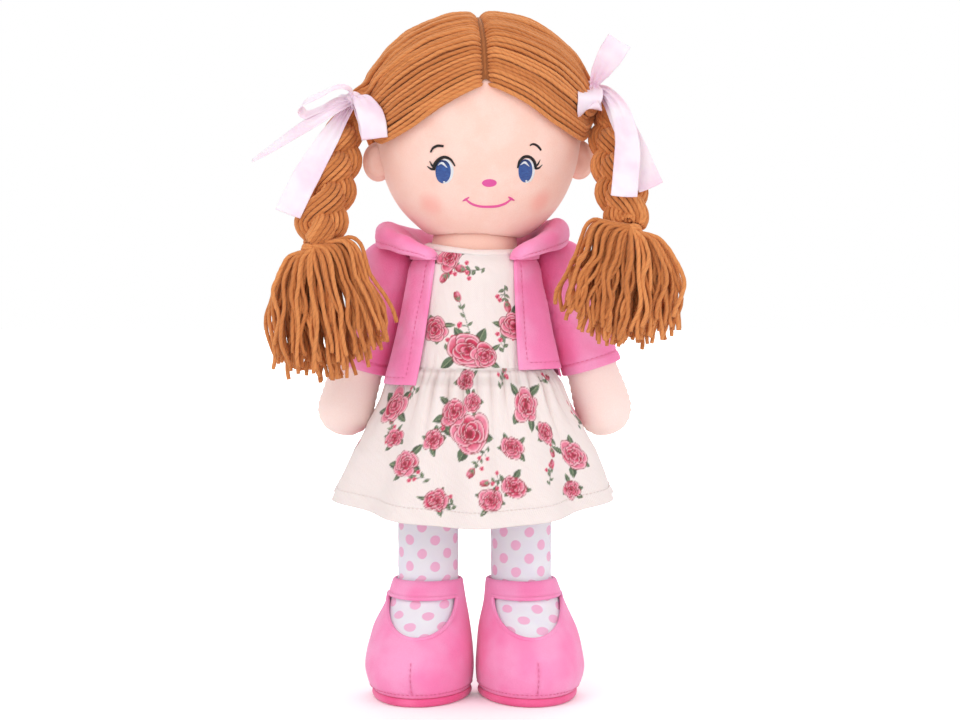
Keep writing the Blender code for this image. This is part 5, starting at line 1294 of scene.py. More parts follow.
def petal(cloth, at, x, y, cx, cy, angle, size, light, rng):
    """One round petal: deep at its foot, pale at its curled edge, with a dark outline."""
    u, v = turned(x, y, cx, cy, angle)
    wave = 1 + 0.12 * np.sin(3 * np.arctan2(v, u) + rng.uniform(0, 6))
    d = np.hypot((u - size * 0.45) / 1.0, v / 1.15) / (size * wave)
    inside = edge((d - 1) * size, 0.35)
    lit = rng.uniform(-0.7, 0.7)
    tone = np.clip((u / size + lit * v / size + 0.15) / 1.3 + light, 0, 1)[:, None]
    streak = 0.5 + 0.5 * np.sin(np.arctan2(v, u + size * 0.5) * 15)
    colour = np.where(tone < 0.5, DEEP_ROSE + (ROSE - DEEP_ROSE) * tone * 2,
                      ROSE + (PALE_ROSE - ROSE) * (tone * 2 - 1))
    cloth.paint(at, inside, colour * (0.88 + 0.12 * streak[:, None]))
    rim = inside * step(0.76, 0.90, d) * step(-0.2, 0.5, u / size)
    cloth.paint(at, rim * 0.85, BLUSH)
    cloth.paint(at, edge(np.abs(d - 1.04) * size - 0.22, 0.3) * 0.85, DEEP_ROSE * 0.85)


def rose_leaves(cloth, centre, size, seed, leaves=4):
    rng = np.random.default_rng(seed + 500)
    at, x, y = cloth.local(centre, size * 3.2)
    spin = rng.uniform(0, 2 * PI)
    for n in range(leaves if len(at) else 0):
        a = spin + n * 2 * PI / leaves + rng.uniform(-0.45, 0.45)
        reach = size * rng.uniform(0.55, 0.85)
        leaf(cloth, at, x, y, math.cos(a) * reach, math.sin(a) * reach, a + rng.uniform(-0.6, 0.6),
             size * rng.uniform(0.8, 1.35), size * rng.uniform(0.26, 0.42))


def rose(cloth, centre, size, seed):
    """A full-blown rose: outer petals of unlike tones round a deep, coiled heart."""
    rng = np.random.default_rng(seed)
    at, x, y = cloth.local(centre, size * 2.2)
    if not len(at):
        return
    spin = rng.uniform(0, 2 * PI)
    squash = rng.uniform(0.8, 1.0)
    x, y = turned(x, y, 0, 0, rng.uniform(0, PI))
    y = y / squash
    for layer, (count, reach, petal_size, light) in enumerate(
            ((5, 0.60, 0.56, 0.25), (5, 0.36, 0.46, 0.0), (4, 0.20, 0.34, -0.2), (3, 0.08, 0.22, 0.1))):
        for n in range(count):
            a = spin + layer * 0.7 + n * 2 * PI / count + rng.uniform(-0.25, 0.25)
            petal(cloth, at, x, y, math.cos(a) * size * reach * 0.7, math.sin(a) * size * reach * 0.7, a,
                  size * petal_size * rng.uniform(0.85, 1.15), light + rng.uniform(-0.45, 0.3), rng)
    angle = np.arctan2(y, x)
    r = np.hypot(x, y)
    swirl = np.sin(angle + r * 2.6 * 4 / size + spin)
    cloth.paint(at, edge(r - size * 0.20, 0.4) * (0.5 + 0.5 * swirl), DEEP_ROSE * 0.75)


def bud(cloth, at, x, y, cx, cy, angle, size):
    u, v = turned(x, y, cx, cy, angle)
    half = size * 0.55 * np.sqrt(np.clip(1 - ((u - size * 0.7) / (size * 0.85)) ** 2, 0, 1))
    inside = edge(np.abs(v) - half) * (u > -0.1 * size) * (u < 1.5 * size)
    tone = np.clip(0.4 + v / size + 0.2 * np.sin(u * 2), 0, 1)[:, None]
    cloth.paint(at, inside, DEEP_ROSE * (1 - tone) + PALE_ROSE * tone)
    cloth.paint(at, inside * edge(np.abs(v - 0.15 * size) - 0.14, 0.3) * 0.7, BLUSH)
    for spread in (-0.5, 0.0, 0.5):
        leaf(cloth, at, x, y, cx, cy, angle + spread, size * 0.8, size * 0.14)


def spray(cloth, centre, angle, reach, seed, buds=1, flowers=3):
    """A curved stem with small leaves, a bud and a few little flowers."""
    rng = np.random.default_rng(seed)
    at, x, y = cloth.local(centre, reach * 1.7)
    if not len(at):
        return
    bend = rng.uniform(-0.35, 0.35)
    ways = [(0, 0)]
    for n in range(1, 5):
        a = angle + bend * n / 2
        ways.append((ways[-1][0] + math.cos(a) * reach / 4, ways[-1][1] + math.sin(a) * reach / 4))
    stem(cloth, at, x, y, ways, 0.32)
    for n in range(5):
        px, py = ways[min(n, 3)]
        a = angle + (1 if n % 2 else -1) * rng.uniform(0.6, 1.1)
        leaf(cloth, at, x, y, px, py, a, rng.uniform(3.0, 4.4), rng.uniform(0.9, 1.3))
    if buds:
        bud(cloth, at, x, y, *ways[-1], angle + bend * 2, rng.uniform(3.2, 4.2))
    for n in range(flowers):
        a = angle + rng.uniform(-1.6, 1.6)
        px, py = ways[rng.integers(1, 4)]
        fx, fy = px + math.cos(a) * 4.5, py + math.sin(a) * 4.5
        stem(cloth, at, x, y, [(px, py), ((px + fx) / 2 + 0.3, (py + fy) / 2), (fx, fy)], 0.16)
        for k in range(5):
            b = k * 2 * PI / 5
            d = np.hypot(x - fx - math.cos(b) * 0.75, y - fy - math.sin(b) * 0.75) - 0.62
            cloth.paint(at, edge(d), PALE_ROSE if k % 2 else ROSE)
        cloth.paint(at, edge(np.hypot(x - fx, y - fy) - 0.35), DEEP_ROSE)


FRONT = PI
ROSE_SCALE = 1.22
SKIRT_MOTIFS = (
    ("rose", -0.05, 38, 8.6, 1), ("rose", -0.22, 26, 6.2, 2), ("rose", 0.60, 23, 7.4, 3),
    ("rose", -0.62, 58, 6.0, 4), ("rose", -1.02, 24, 7.2, 5), ("rose", 0.98, 56, 6.4, 6),
    ("rose", 1.55, 30, 8.0, 7), ("rose", -1.65, 52, 8.0, 8), ("rose", 2.15, 60, 7.2, 9),
    ("rose", -2.25, 28, 7.6, 10), ("rose", 2.75, 30, 8.2, 11), ("rose", -2.85, 60, 7.4, 12),
    ("rose", 0.12, 76, 4.6, 13), ("rose", -0.10, 7, 4.4, 14), ("rose", 0.36, 47, 4.4, 15),
    ("rose", 0.33, 70, 4.8, 16), ("rose", -0.40, 42, 4.6, 17), ("rose", -0.30, 78, 4.4, 18),
    ("rose", 0.74, 40, 4.2, 19), ("rose", -0.86, 44, 4.6, 40), ("rose", -0.02, 20, 4.0, 41),
    ("rose", 0.86, 78, 4.6, 42), ("spray", 0.13, 46, -0.7, 13, 20), ("spray", -0.42, 40, 2.6, 11, 21),
    ("spray", 0.30, 66, 0.1, 11, 22), ("spray", -0.86, 47, 0.9, 11, 23),
    ("spray", -0.38, 66, 0.3, 13, 24), ("spray", 0.82, 36, -1.0, 12, 25),
    ("spray", 1.22, 40, 2.0, 12, 26), ("spray", 0.62, 71, 1.9, 9, 27), ("spray", -1.35, 68, 1.2, 12, 28),
    ("spray", 1.80, 64, 0.6, 12, 29), ("spray", -1.90, 24, -0.8, 12, 30),
    ("spray", 2.40, 40, 2.4, 12, 31), ("spray", -2.50, 50, 0.9, 12, 32), ("spray", 3.05, 58, 1.4, 12, 33),
    ("spray", -0.14, 80, 0.4, 8, 34), ("spray", 0.30, 12, 2.2, 9, 35), ("spray", -0.72, 12, -0.4, 9, 36),
    ("spray", 0.90, 9, 2.8, 8, 37),
)
BODICE_MOTIFS = (
    ("rose", -0.10, 10, 7.2, 51), ("rose", 0.14, 7, 4.6, 52), ("rose", -0.46, 62, 5.2, 53),
    ("rose", 0.62, 24, 6.0, 54), ("rose", -0.62, 22, 5.4, 55), ("rose", 2.2, 20, 6.4, 56),
    ("rose", -2.2, 42, 6.4, 57), ("rose", 3.1, 24, 6.6, 58), ("rose", 2.7, 52, 5.6, 59),
    ("rose", 1.3, 46, 5.8, 60), ("rose", -1.3, 30, 5.8, 61), ("spray", -0.06, 19, 1.35, 17, 70),
    ("spray", -0.26, 59, -0.5, 8, 71), ("spray", 0.16, 57, -0.4, 9, 72), ("spray", 0.40, 9, 1.8, 9, 73),
    ("spray", -0.40, 10, 2.2, 8, 74), ("spray", 0.50, 47, -1.4, 8, 75), ("spray", 2.5, 34, 1.9, 12, 76),
    ("spray", -2.7, 20, 1.2, 12, 77), ("spray", -3.0, 52, 0.3, 10, 78),
)


def paint_print(cloth, motifs, base, sign):
    """Paint the motifs; each height is measured from the base, upwards or downwards by the sign."""
    for drawn in ("leaves", "spray", "rose"):
        for kind, angle, height, *rest in motifs:
            centre = (FRONT - angle, base + sign * height * MM)
            if kind == "spray" and drawn == "spray":
                spray(cloth, centre, rest[0], rest[1] * 1.2, rest[2])
            elif kind == "rose" and drawn != "spray":
                size = rest[0] * ROSE_SCALE
                (rose if drawn == "rose" else rose_leaves)(cloth, centre, size, rest[1])


def tucks(angle):
    """How far the tucks under the skirt's waist seam stand out, from 0 to 1."""
    return np.abs(np.cos(15.5 * angle + 1.7 * np.sin(2 * angle + 0.4))) ** 0.7


def mean_radius(rings):
    """The radius of a circle as long as each closed ring of points."""
    closed = np.concatenate([rings, rings[:, :1]], 1)
    return np.linalg.norm(np.diff(closed, axis=1), axis=2).sum(1) / (2 * PI)


def skirt_surface(share, angle, offset):
    """The gathered skirt: the part's own folds, and the gathers under the waist seam."""
    half_width, half_depth = torso_sizes(np.array(WAIST - GAP))
    start = SHELL_GAP + offset
    flare = share**FLARE_POWER
    width = half_width + start + (HEM_HALF_WIDTH - half_width) * flare
    depth = half_depth + start + (HEM_HALF_DEPTH - half_depth) * flare
    wave = 1 + np.cos(SKIRT_FOLDS * angle + np.sin(2 * angle))
    fold = FOLD_DEPTH / 2 * wave * share
    drift = 0.6 * np.sin(3 * angle + 1) + 0.8 * np.sin(7 * angle)
    gather = np.abs(np.cos(23 * angle + drift)) ** 0.8
    tuck = tucks(angle)
    fine = 0.0016 * gather * np.exp(-((share / 0.16) ** 1.5)) * step(0, 0.03, share) + 0.0004
    reach = 0.30 + 0.16 * np.sin(4 * angle + 0.7) + 0.10 * np.sin(9 * angle)
    uneven = 0.62 + 0.38 * np.sin(3 * angle + 0.9) * np.sin(8 * angle + 2.1)
    broad = 0.0060 * uneven * tuck * step(0, 0.14, share) * np.exp(-((share / reach) ** 2))
    soft = 0.0016 * np.sin(5 * angle + 7 * share + 1.3 * np.sin(4 * angle)) * share
    full = np.interp(share, (0, 0.2, 0.4, 0.6, 0.8, 1),
                     (0, 0.0030, 0.0062, 0.0066, 0.0036, 0)) * np.sin(angle) ** 2
    out = fold + fine + broad + soft + full
    rise = SIDE_RISE * np.sin(angle) ** 2 * share**2
    height = WAIST - GAP - SKIRT_LENGTH * share + rise
    return np.stack(np.broadcast_arrays((width + out) * np.sin(angle), (depth + out) * np.cos(angle),
                                        height), -1)


def make_dress(cloth_finish):
    columns, rows = 700, 122
    angle = circle(columns)[None]
    share = np.linspace(0, 1, rows)[:, None]
    points = skirt_surface(share, angle, SKIRT_THICKNESS)
    inward = skirt_surface(np.linspace(1, 0.90, 16)[1:, None], angle, SKIRT_THICKNESS - 0.0007)
    edge_row = skirt_surface(np.array([[1.0]]), angle, SKIRT_THICKNESS - 0.0003)
    edge_row[..., 2] -= 0.0004
    whole = np.concatenate([points, edge_row, inward]) + MIDDLE
    shares = np.concatenate([share[:, 0], [1.0], np.linspace(1, 0.90, 16)[1:]])[:, None]
    around = mean_radius(whole)
    radius = 0.55 * around[:, None] + 0.45 * around.max()
    level = WAIST - GAP - (SKIRT_LENGTH + 0.003) * shares
    cloth = Cloth(angle + 0 * level, level + 0 * angle, radius + 0 * angle)
    paint_print(cloth, SKIRT_MOTIFS, WAIST, -1)
    tuck = tucks(angle)
    # Painted shade: the print is darkened, towards beige, in the valleys between the tucks near the waist.
    shade = 0.20 * (1 - tuck) ** 1.5 * np.exp(-((shares / 0.30) ** 2)) * step(0, 0.02, shares)
    colour = cloth.colour.reshape(*whole.shape[:2], 3) * (1 - shade[..., None] * np.array([0.8, 1.1, 1.15]))
    u = np.linspace(0, 2 * PI, columns + 1)[None] * around[:, None]
    v = level + 0 * np.linspace(0, 1, columns + 1)[None]
    skirt = surface("skirt_cloth", whole, True, u=u, v=v, layers={"print": colour})
    finish_piece(skirt, None, cloth_finish, "dress_cloth", "dress_skirt")
    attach(skirt, "torso")
    hem = whole[rows - 1 - 12]
    ring = np.concatenate([hem, hem[:1]])
    line = evenly(ring, 700)
    outward = unit(np.column_stack([line[:, :2] - MIDDLE[:2], np.zeros(700)]))
    sewn = stitches("skirt_hem_stitches", line + outward * 0.0001, outward, 0.0017, 0.0008, 0.00022,
                    thread_finish("cream_thread", srgb(236, 214, 210), srgb(250, 238, 234)))
    finish_piece(sewn, "torso", None, "dress_cloth")
    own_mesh(skirt)
    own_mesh(sewn)
    columns, rows = 560, 124
    angle = circle(columns)[None]
    height = np.linspace(WAIST - 0.0004, TORSO_TOP + 0.0004, rows)[:, None]
    points = torso_point(height, angle, GAP + BODICE_THICKNESS + 0.0002)
    pucker = 0.0006 * np.abs(np.cos(23 * angle + 0.8
                                    * np.sin(7 * angle))) * np.exp(-(height - WAIST) / 0.006)
    soft = wobble(points, 0.028, 14) * 0.0005
    out = np.stack([np.sin(angle) + 0 * height, np.cos(angle) + 0 * height, 0 * angle + 0 * height], -1)
    points = dented(points + out * (pucker + soft)[..., None], 0.0006)
    points[..., 2] += 0.0034 * np.clip(-points[..., 0] / 0.027, 0, 1) * step(TORSO_TOP - 0.02, TORSO_TOP,
                                                                             height)
    around = mean_radius(points)
    cloth = Cloth(angle + 0 * height, height + 0 * angle, np.median(around) + 0 * height + 0 * angle)
    paint_print(cloth, BODICE_MOTIFS, WAIST, 1)
    u = np.linspace(0, 2 * PI, columns + 1)[None] * around[:, None]
    bodice = surface("bodice_cloth", points + MIDDLE, True, u=u, v=height + 0 * u,
                     layers={"print": cloth.colour.reshape(*points.shape[:2], 3)}, flip=True)
    finish_piece(bodice, "torso", cloth_finish, "dress_cloth", "dress_bodice")
    turn = circle(160)[None]
    tube = circle(14)[:, None]
    ring = NECK_RADIUS + GAP + 0.0017
    flare = np.where(np.cos(tube) > 0, 1.9, 1.0)
    r = ring + 0.0017 * np.cos(tube) * flare
    z = TORSO_TOP + GAP + 0.0017 + 0.0017 * np.sin(tube) - 0.0011 * np.clip(np.cos(tube), 0, 1)
    z = z + 0.0034 * np.clip(-np.sin(turn), 0, 1)
    bound = np.stack([r * np.sin(turn), r * np.cos(turn), z], -1) + MIDDLE
    bound = np.concatenate([bound, bound[:1]])
    cream = np.tile(CREAM, (bound.shape[0] * bound.shape[1], 1)).reshape(*bound.shape[:2], 3)
    binding = surface("neck_binding_cloth", bound, True, u=np.linspace(0, 0.17, 161),
                      v=np.linspace(0, 0.011, 15), layers={"print": cream})
    weld(binding)
    finish_piece(binding, "torso", cloth_finish, "dress_cloth", "dress_neck_binding")


def edge_samples(length, thick, spacing):
    """Places along a width that are close together at its two rounded edges."""
    near_edge = thick * np.array([0, 0.05, 0.16, 0.32, 0.55, 0.85, 1.3])
    middle = np.linspace(near_edge[-1], length - near_edge[-1], max(int(length / spacing), 4))
    return np.concatenate([near_edge[:-1], middle, (length - near_edge[:-1])[::-1]])


def rounded(distance, thick):
    """How full a padded edge is at a distance from it."""
    t = np.clip(distance / thick, 0, 1)
    return np.sqrt(np.clip(1 - (1 - t) ** 2, 0, 1))


def jacket_panel(name, length, first_edge, last_edge, velour, thread, free_first, free_last, seed):
    """One velour panel with turned, padded edges where it is free and folds that fall from the shoulder."""
    low = JACKET_TOP - length
    thick = JACKET_THICKNESS
    z = low + edge_samples(length, thick, 0.0010)
    first, last = first_edge(z), last_edge(z)
    wide = abs(float(np.median(last - first))) * 0.034
    s = edge_samples(wide, thick, 0.0010) / wide
    angle = first[:, None] + (last - first)[:, None] * s[None]
    share = ((JACKET_TOP - z) / JACKET_LENGTH)[:, None]
    inside = GAP + BODICE_THICKNESS + JACKET_EASE + JACKET_FLARE * share**3
    ahead = np.where(np.cos(angle) < 0, 1.0, 0.35)
    inside = inside + 0.0050 * step(0.05, 0.42, share) * step(0.66, 0.95, np.abs(np.sin(angle))) * ahead
    inner = torso_point(z[:, None] + 0 * angle, angle, inside)
    outer = torso_point(z[:, None] + 0 * angle, angle, inside + thick)
    across = s[None] * wide
    free = np.minimum(np.where(free_first, across, 1), np.where(free_last, wide - across, 1))
    fall = np.minimum((z - low)[:, None] + 0 * angle, 1)
    full = rounded(np.minimum(free, fall), thick * 0.62)
    full = np.maximum(full, 0.02)
    soft = wobble(outer * np.array([1, 1, 0.45]), 0.020,
                  seed) * 0.0009 * np.sin(PI * np.clip(share, 0.05, 0.95))
    groove = 0.0005 * np.exp(-(((np.minimum(free, fall) - 0.0045) / 0.0007) ** 2))
    middle = (outer + inner) / 2
    half = (outer - inner) / 2
    out = unit(half)
    outer = middle + half * full[..., None] + out * (soft - groove)[..., None]
    inner = middle - half * full[..., None]
    outer, inner = dented(outer, 0.0002), dented(inner, 0.0012)
    piece = slab(name, outer + MIDDLE, inner + MIDDLE, u=np.append(across, wide), v=z)
    piece.data.materials.append(velour)
    lines = []
    inset = 0.0045
    if free_first or free_last:
        j = int(np.argmin(np.abs(s * wide - (inset if free_first else wide - inset))))
        rows = (z > low + inset) & (z < JACKET_TOP - 0.002)
        lines.append((outer[rows, j], out[rows, j]))
    i = int(np.argmin(np.abs(z - low - inset)))
    columns = (s * wide > (inset if free_first else 0)) & (s * wide < wide - (inset if free_last else 0))
    lines.append((outer[i, columns], out[i, columns]))
    sewn = []
    for n, (line, ways) in enumerate(lines):
        sewn.append(seam_row(f"{name}_stitches_{n}", line + MIDDLE, ways, 200, thread))
    return piece, joined(name + "_stitches", sewn)


def make_jacket(velour, thread):
    def edge_angle(opening_below):
        def found(z):
            share = (JACKET_TOP - z) / JACKET_LENGTH
            opening = JACKET_OPENING + (opening_below - JACKET_OPENING) * share
            return PI - np.arcsin(opening / torso_sizes(z)[0])
        return found

    side_seam = PI / 2
    right_edge, left_edge = edge_angle(RIGHT_HEM_OPENING), edge_angle(LEFT_HEM_OPENING)
    panels = (
        ("jacket_back", JACKET_LENGTH, lambda z: 0 * z - side_seam, lambda z: 0 * z + side_seam, False,
         False, 1),
        ("jacket_front_right", RIGHT_FRONT_LENGTH, lambda z: 0 * z + side_seam, right_edge, False, True, 2),
        ("jacket_front_left", LEFT_FRONT_LENGTH, lambda z: -left_edge(z), lambda z: 0 * z - side_seam,
         True, False, 3),
    )
    for node, length, first, last, free_first, free_last, seed in panels:
        piece, sewn = jacket_panel("velour_" + node, length, first, last, velour, thread, free_first,
                                   free_last, seed)
        finish_piece(piece, "torso", None, "velour", node)
        finish_piece(sewn, "torso", None, "velour")
    make_collar(velour, thread)


def make_collar(velour, thread):
    """A stand collar rolled outwards: up from the neck, over, and down to its padded edge."""
    half_width, half_depth = torso_sizes(np.array(JACKET_TOP))
    rim = GAP + BODICE_THICKNESS + JACKET_EASE + JACKET_THICKNESS / 2
    shares = ((0.62, -0.84), (0.89, -0.56), (1.03, -0.12), (0.88, 0.50), (0.50, 0.88))
    right = [((half_width + rim) * x, (half_depth + rim) * y, 0) for x, y in shares]
    left = [(-x, y, z) for x, y, z in right]
    steps = 240
    foot = spline([*left, (0, half_depth + rim, 0), *reversed(right)], steps)
    along = unit(np.gradient(foot, axis=0))
    out = np.stack([-along[:, 1], along[:, 0], 0 * along[:, 0]], 1)
    t = np.linspace(0, 1, steps)
    share = np.minimum(t, 1 - t)
    places = (0, 0.05, 0.12, 0.22, 0.34, 0.5)
    viewers_right = np.where(t < 0.5, 0.0, 1.0)
    tall = smooth(share, places, (0.10, 0.34, 0.65, 0.96, 0.71, 0.32)) * (0.0190 + 0.0020 * viewers_right)
    reach = smooth(share, places, (0.10, 0.34, 0.70, 1.0, 0.96, 0.40)) * (0.0190 - 0.0040 * viewers_right)
    fall = smooth(share, places,
                  (0.0008, 0.0028, 0.0052, 0.0080, 0.0056, 0.0034)) * (1 + 0.25 * viewers_right)
    profile = np.array(((0.00, 0.00), (0.06, 0.30), (0.28, 0.58), (0.62, 0.84), (0.90, 0.98)))
    thick = 0.0036
    n = 60
    rolled = np.array(((1.02, 0.96, 0.12), (1.05, 0.92, 0.45), (1.02, 0.90, 0.80), (0.96, 0.88, 1.0)))
    mids, ways = [], []
    for i in range(steps):
        shape = np.concatenate([profile * [reach[i], tall[i]],
                                np.stack([rolled[:, 0] * reach[i] + 0.0012, rolled[:, 1] * tall[i]
                                          - rolled[:, 2] * fall[i]], 1)])
        curve = spline(np.column_stack([shape, 0 * shape[:, 0]]), n)[:, :2]
        way = unit(np.gradient(curve, axis=0))
        normal = np.stack([-way[:, 1], way[:, 0]], 1)
        centre = foot[i] + [0, 0, JACKET_TOP + 0.0004]
        mids.append(centre + curve[:, :1] * out[i] + curve[:, 1:] * np.array([0, 0, 1.0]))
        ways.append(normal[:, :1] * out[i] + normal[:, 1:] * np.array([0, 0, 1.0]))
    mids, ways = np.array(mids), np.array(ways)
    length = along_line(mids[steps // 5])
    ends = np.linspace(0, 1, steps)
    to_end = np.minimum(ends, 1 - ends)[:, None] * 0.19
    to_edge = (length[-1] - length)[None] + 0 * to_end
    full = np.maximum(rounded(np.minimum(to_end, to_edge), 0.0030), 0.03)
    soft = wobble(mids, 0.022, 23) * 0.0007
    groove = 0.0006 * np.exp(-(((to_edge - 0.0045) / 0.0007) ** 2))
    outer = mids + ways * (thick * full + soft - groove)[..., None]
    inner = mids - ways * (thick * 0.6 * full)[..., None]
    piece = slab("velour_collar", outer + MIDDLE, inner + MIDDLE, u=np.append(length, length[-1]),
                 v=np.linspace(0, 0.19, steps))
    finish_piece(piece, "torso", velour, "velour", "jacket_collar")
    j = int(np.argmin(np.abs(length[-1] - length - 0.0045)))
    sewn = seam_row("collar_stitches", outer[8:-8, j] + MIDDLE, ways[8:-8, j], 300, thread)
    finish_piece(sewn, "torso", None, "velour")


def arm_grid(side, along, radius, columns):
    """Rings square to the arm; radius may vary by ring and column."""
    axis = np.array([side * math.sin(ARM_SPREAD), 0, -math.cos(ARM_SPREAD)])
    across = np.array([math.cos(ARM_SPREAD), 0, side * math.sin(ARM_SPREAD)])
    shoulder = np.array([side * SHOULDER_X, SHOULDER_Y, SHOULDER_HEIGHT]) + MIDDLE
    angle = circle(columns)
    spoke = across * np.sin(angle)[:, None] + np.array([0, 1.0, 0]) * np.cos(angle)[:, None]
    radius = np.broadcast_to(np.asarray(radius, float).reshape(len(along), -1), (len(along), columns))
    return shoulder + axis * np.asarray(along)[:, None, None] + spoke[None] * radius[..., None]


def make_arms(skin, velour, thread):
    for name, side in SIDES:
        body = "arm_" + name
        columns = 72
        angle = circle(columns)[None]
        hand = ARM_LENGTH - HAND_RADIUS
        up = np.linspace(-1, 0, 12)[1:-1] * PI / 2
        down = np.linspace(0, 1, 22)[1:-1] * PI / 2
        along = np.concatenate([SHOULDER_RADIUS * np.sin(up), np.linspace(0, hand, 60),
                                hand + HAND_RADIUS * np.sin(down)])
        radius = np.concatenate([SHOULDER_RADIUS * np.cos(up), arm_radius(np.linspace(0, hand, 60)),
                                 HAND_RADIUS * np.cos(down) ** 0.94])[:, None]
        bare = step(SLEEVE_LENGTH - 0.004, SLEEVE_LENGTH + 0.008, along)[:, None]
        seam = np.exp(-((np.abs(np.sin(angle)) - 1) / 0.018) ** 2)
        flat = 1 + bare * (0.025 * np.abs(np.sin(angle)) - 0.055 * np.abs(np.cos(angle)) ** 2)
        pulled = 0.00035 * np.cos(along[:, None] / 0.0042 * 2
                                  * PI) * np.exp(-((np.abs(np.sin(angle)) - 1) / 0.10) ** 2)
        radius = radius * flat + bare * (pulled - 0.0009 * seam) * (radius > 0.004)
        points = arm_grid(side, along, radius, columns)
        points += unit(points - points.mean(1, keepdims=True)) * (wobble(points, 0.03, 6) * 0.0003
                                                                  * bare)[..., None]
        arm = surface("arm_cloth_" + name, points, True, caps=(True, True), flip=True)
        finish_piece(arm, body, skin, "skin", "arm_" + name, padded=0.8)
        make_sleeve(name, side, velour, thread)


def make_sleeve(name, side, velour, thread):
    """The sleeve: a round head in the armhole, soft cross folds, and a thick turned hem."""
    columns = 96
    angle = circle(columns)[None]
    ball = np.linspace(1, 0, 14)[:-1] * PI / 2
    ball[0] -= 0.06
    top = SHOULDER_RADIUS + GAP + SLEEVE_THICKNESS
    thick_hem = CUFF_THICKNESS
    body_along = SLEEVE_LENGTH * np.concatenate([np.linspace(0, 0.9, 50), np.linspace(0.905, 1, 22)])
    wall = SLEEVE_THICKNESS + (CUFF_THICKNESS - SLEEVE_THICKNESS) * body_along / SLEEVE_LENGTH
    base = arm_radius(body_along) + GAP + wall
    folds = (0.0004 * np.sin(body_along[:, None] / 0.0115 * 2 * PI + 1.2 * np.sin(angle + side))
             * (0.55 + 0.45 * np.cos(angle + side * 0.8))
             * np.sin(PI * np.clip(body_along / 0.052, 0, 1))[:, None])
    rim = rounded(SLEEVE_LENGTH - body_along, thick_hem * 0.55)[:, None]
    groove = 0.0006 * np.exp(-(((SLEEVE_LENGTH - body_along - 0.0062) / 0.0007) ** 2))[:, None]
    bulge = 0.0003 * step(0.0062, 0.0045, SLEEVE_LENGTH - body_along)[:, None]
    middle = (base - wall / 2)[:, None]
    outer_r = middle + wall[:, None] / 2 * rim + folds - groove + bulge
    inner_r = middle - wall[:, None] / 2 * rim + 0 * angle
    outer_along = np.concatenate([-top * np.sin(ball), body_along])
    outer_radius = np.concatenate([(top * np.cos(ball))[:, None] + 0 * angle, outer_r])
    inner_top = SHOULDER_RADIUS + GAP * 0.5
    inner_along = np.concatenate([-inner_top * np.sin(ball), body_along])
    inner_radius = np.concatenate([(inner_top * np.cos(ball))[:, None] + 0 * angle, inner_r])
    outer = arm_grid(side, outer_along, outer_radius, columns)
    inner = arm_grid(side, inner_along, inner_radius, columns)
    outer += unit(outer - outer.mean(1, keepdims=True)) * (wobble(outer, 0.018, 9) * 0.0004)[..., None]
    sleeve = slab("velour_sleeve_" + name, outer, inner, True, u=np.linspace(0, 0.105, columns + 1),
                  v=outer_along)
    finish_piece(sleeve, "arm_" + name, velour, "velour", "sleeve_" + name)
    i = int(np.argmin(np.abs(outer_along - (SLEEVE_LENGTH - 0.0062))))
    ring = np.concatenate([outer[i], outer[i][:1]])
    sewn = seam_row("sleeve_stitches_" + name, ring, ring - ring[:-1].mean(0), 240, thread)
    finish_piece(sewn, "arm_" + name, None, "velour")


def soft_copy(node, name, body, material, slot, padded=None):
    """A hidden stuffed piece: the node's own form with its facets rounded off."""
    piece = bpy.data.objects.new(name, frame["nodes"][node].data.copy())
    bpy.context.scene.collection.objects.link(piece)
    made = bmesh.new()
    made.from_mesh(piece.data)
    bmesh.ops.remove_doubles(made, verts=made.verts, dist=1e-5)
    bmesh.ops.dissolve_limit(made, angle_limit=0.01, verts=made.verts, edges=made.edges)
    bmesh.ops.triangulate(made, faces=made.faces)
    bmesh.ops.subdivide_edges(made, edges=made.edges, cuts=1, use_grid_fill=True)
    for _ in range(2):
        bmesh.ops.smooth_vert(made, verts=made.verts, factor=0.4, use_axis_x=True, use_axis_y=True,
                              use_axis_z=True)
    made.to_mesh(piece.data)
    made.free()
    piece.data.shade_smooth()
    return finish_piece(piece, body, material, slot, node, padded=padded)


# Legs and shoes

def shoe_points(side, z, angle, offset):
    """Places on the shoe, or a distance inside it, with the toes turned out."""
    z = np.asarray(z, float)
    share = (z - SHOE_BOTTOM) / (SHOE_HEIGHT - SHOE_BOTTOM)
    leg = ANKLE_RADIUS + SHELL_GAP + SHOE_WALL
    sizes = []
    for reach, shares in ((SHOE_HALF_WIDTH, SHOE_WIDTHS), (TOE_LENGTH, SHOE_TOES),
                          (HEEL_LENGTH, SHOE_HEELS)):
        sizes.append(leg + (reach - leg) * smooth(share, SHOE_LEVELS, shares) - offset)
    half_width, front, back = sizes
    spread = (SHOE_SPACING - HIP_SPACING) / 2 * smooth(share, SHOE_LEVELS, SHOE_WIDTHS)
    reach = np.where(np.cos(angle) > 0, back, front)
    x, y = half_width * np.sin(angle), reach * np.cos(angle)
    turn = side * TOE_OUT
    points = np.stack(np.broadcast_arrays(x * math.cos(turn) - y * math.sin(turn),
                                          x * math.sin(turn) + y * math.cos(turn), z), -1).astype(float)
    points[..., 0] += side * (HIP_SPACING / 2 + spread)
    return points


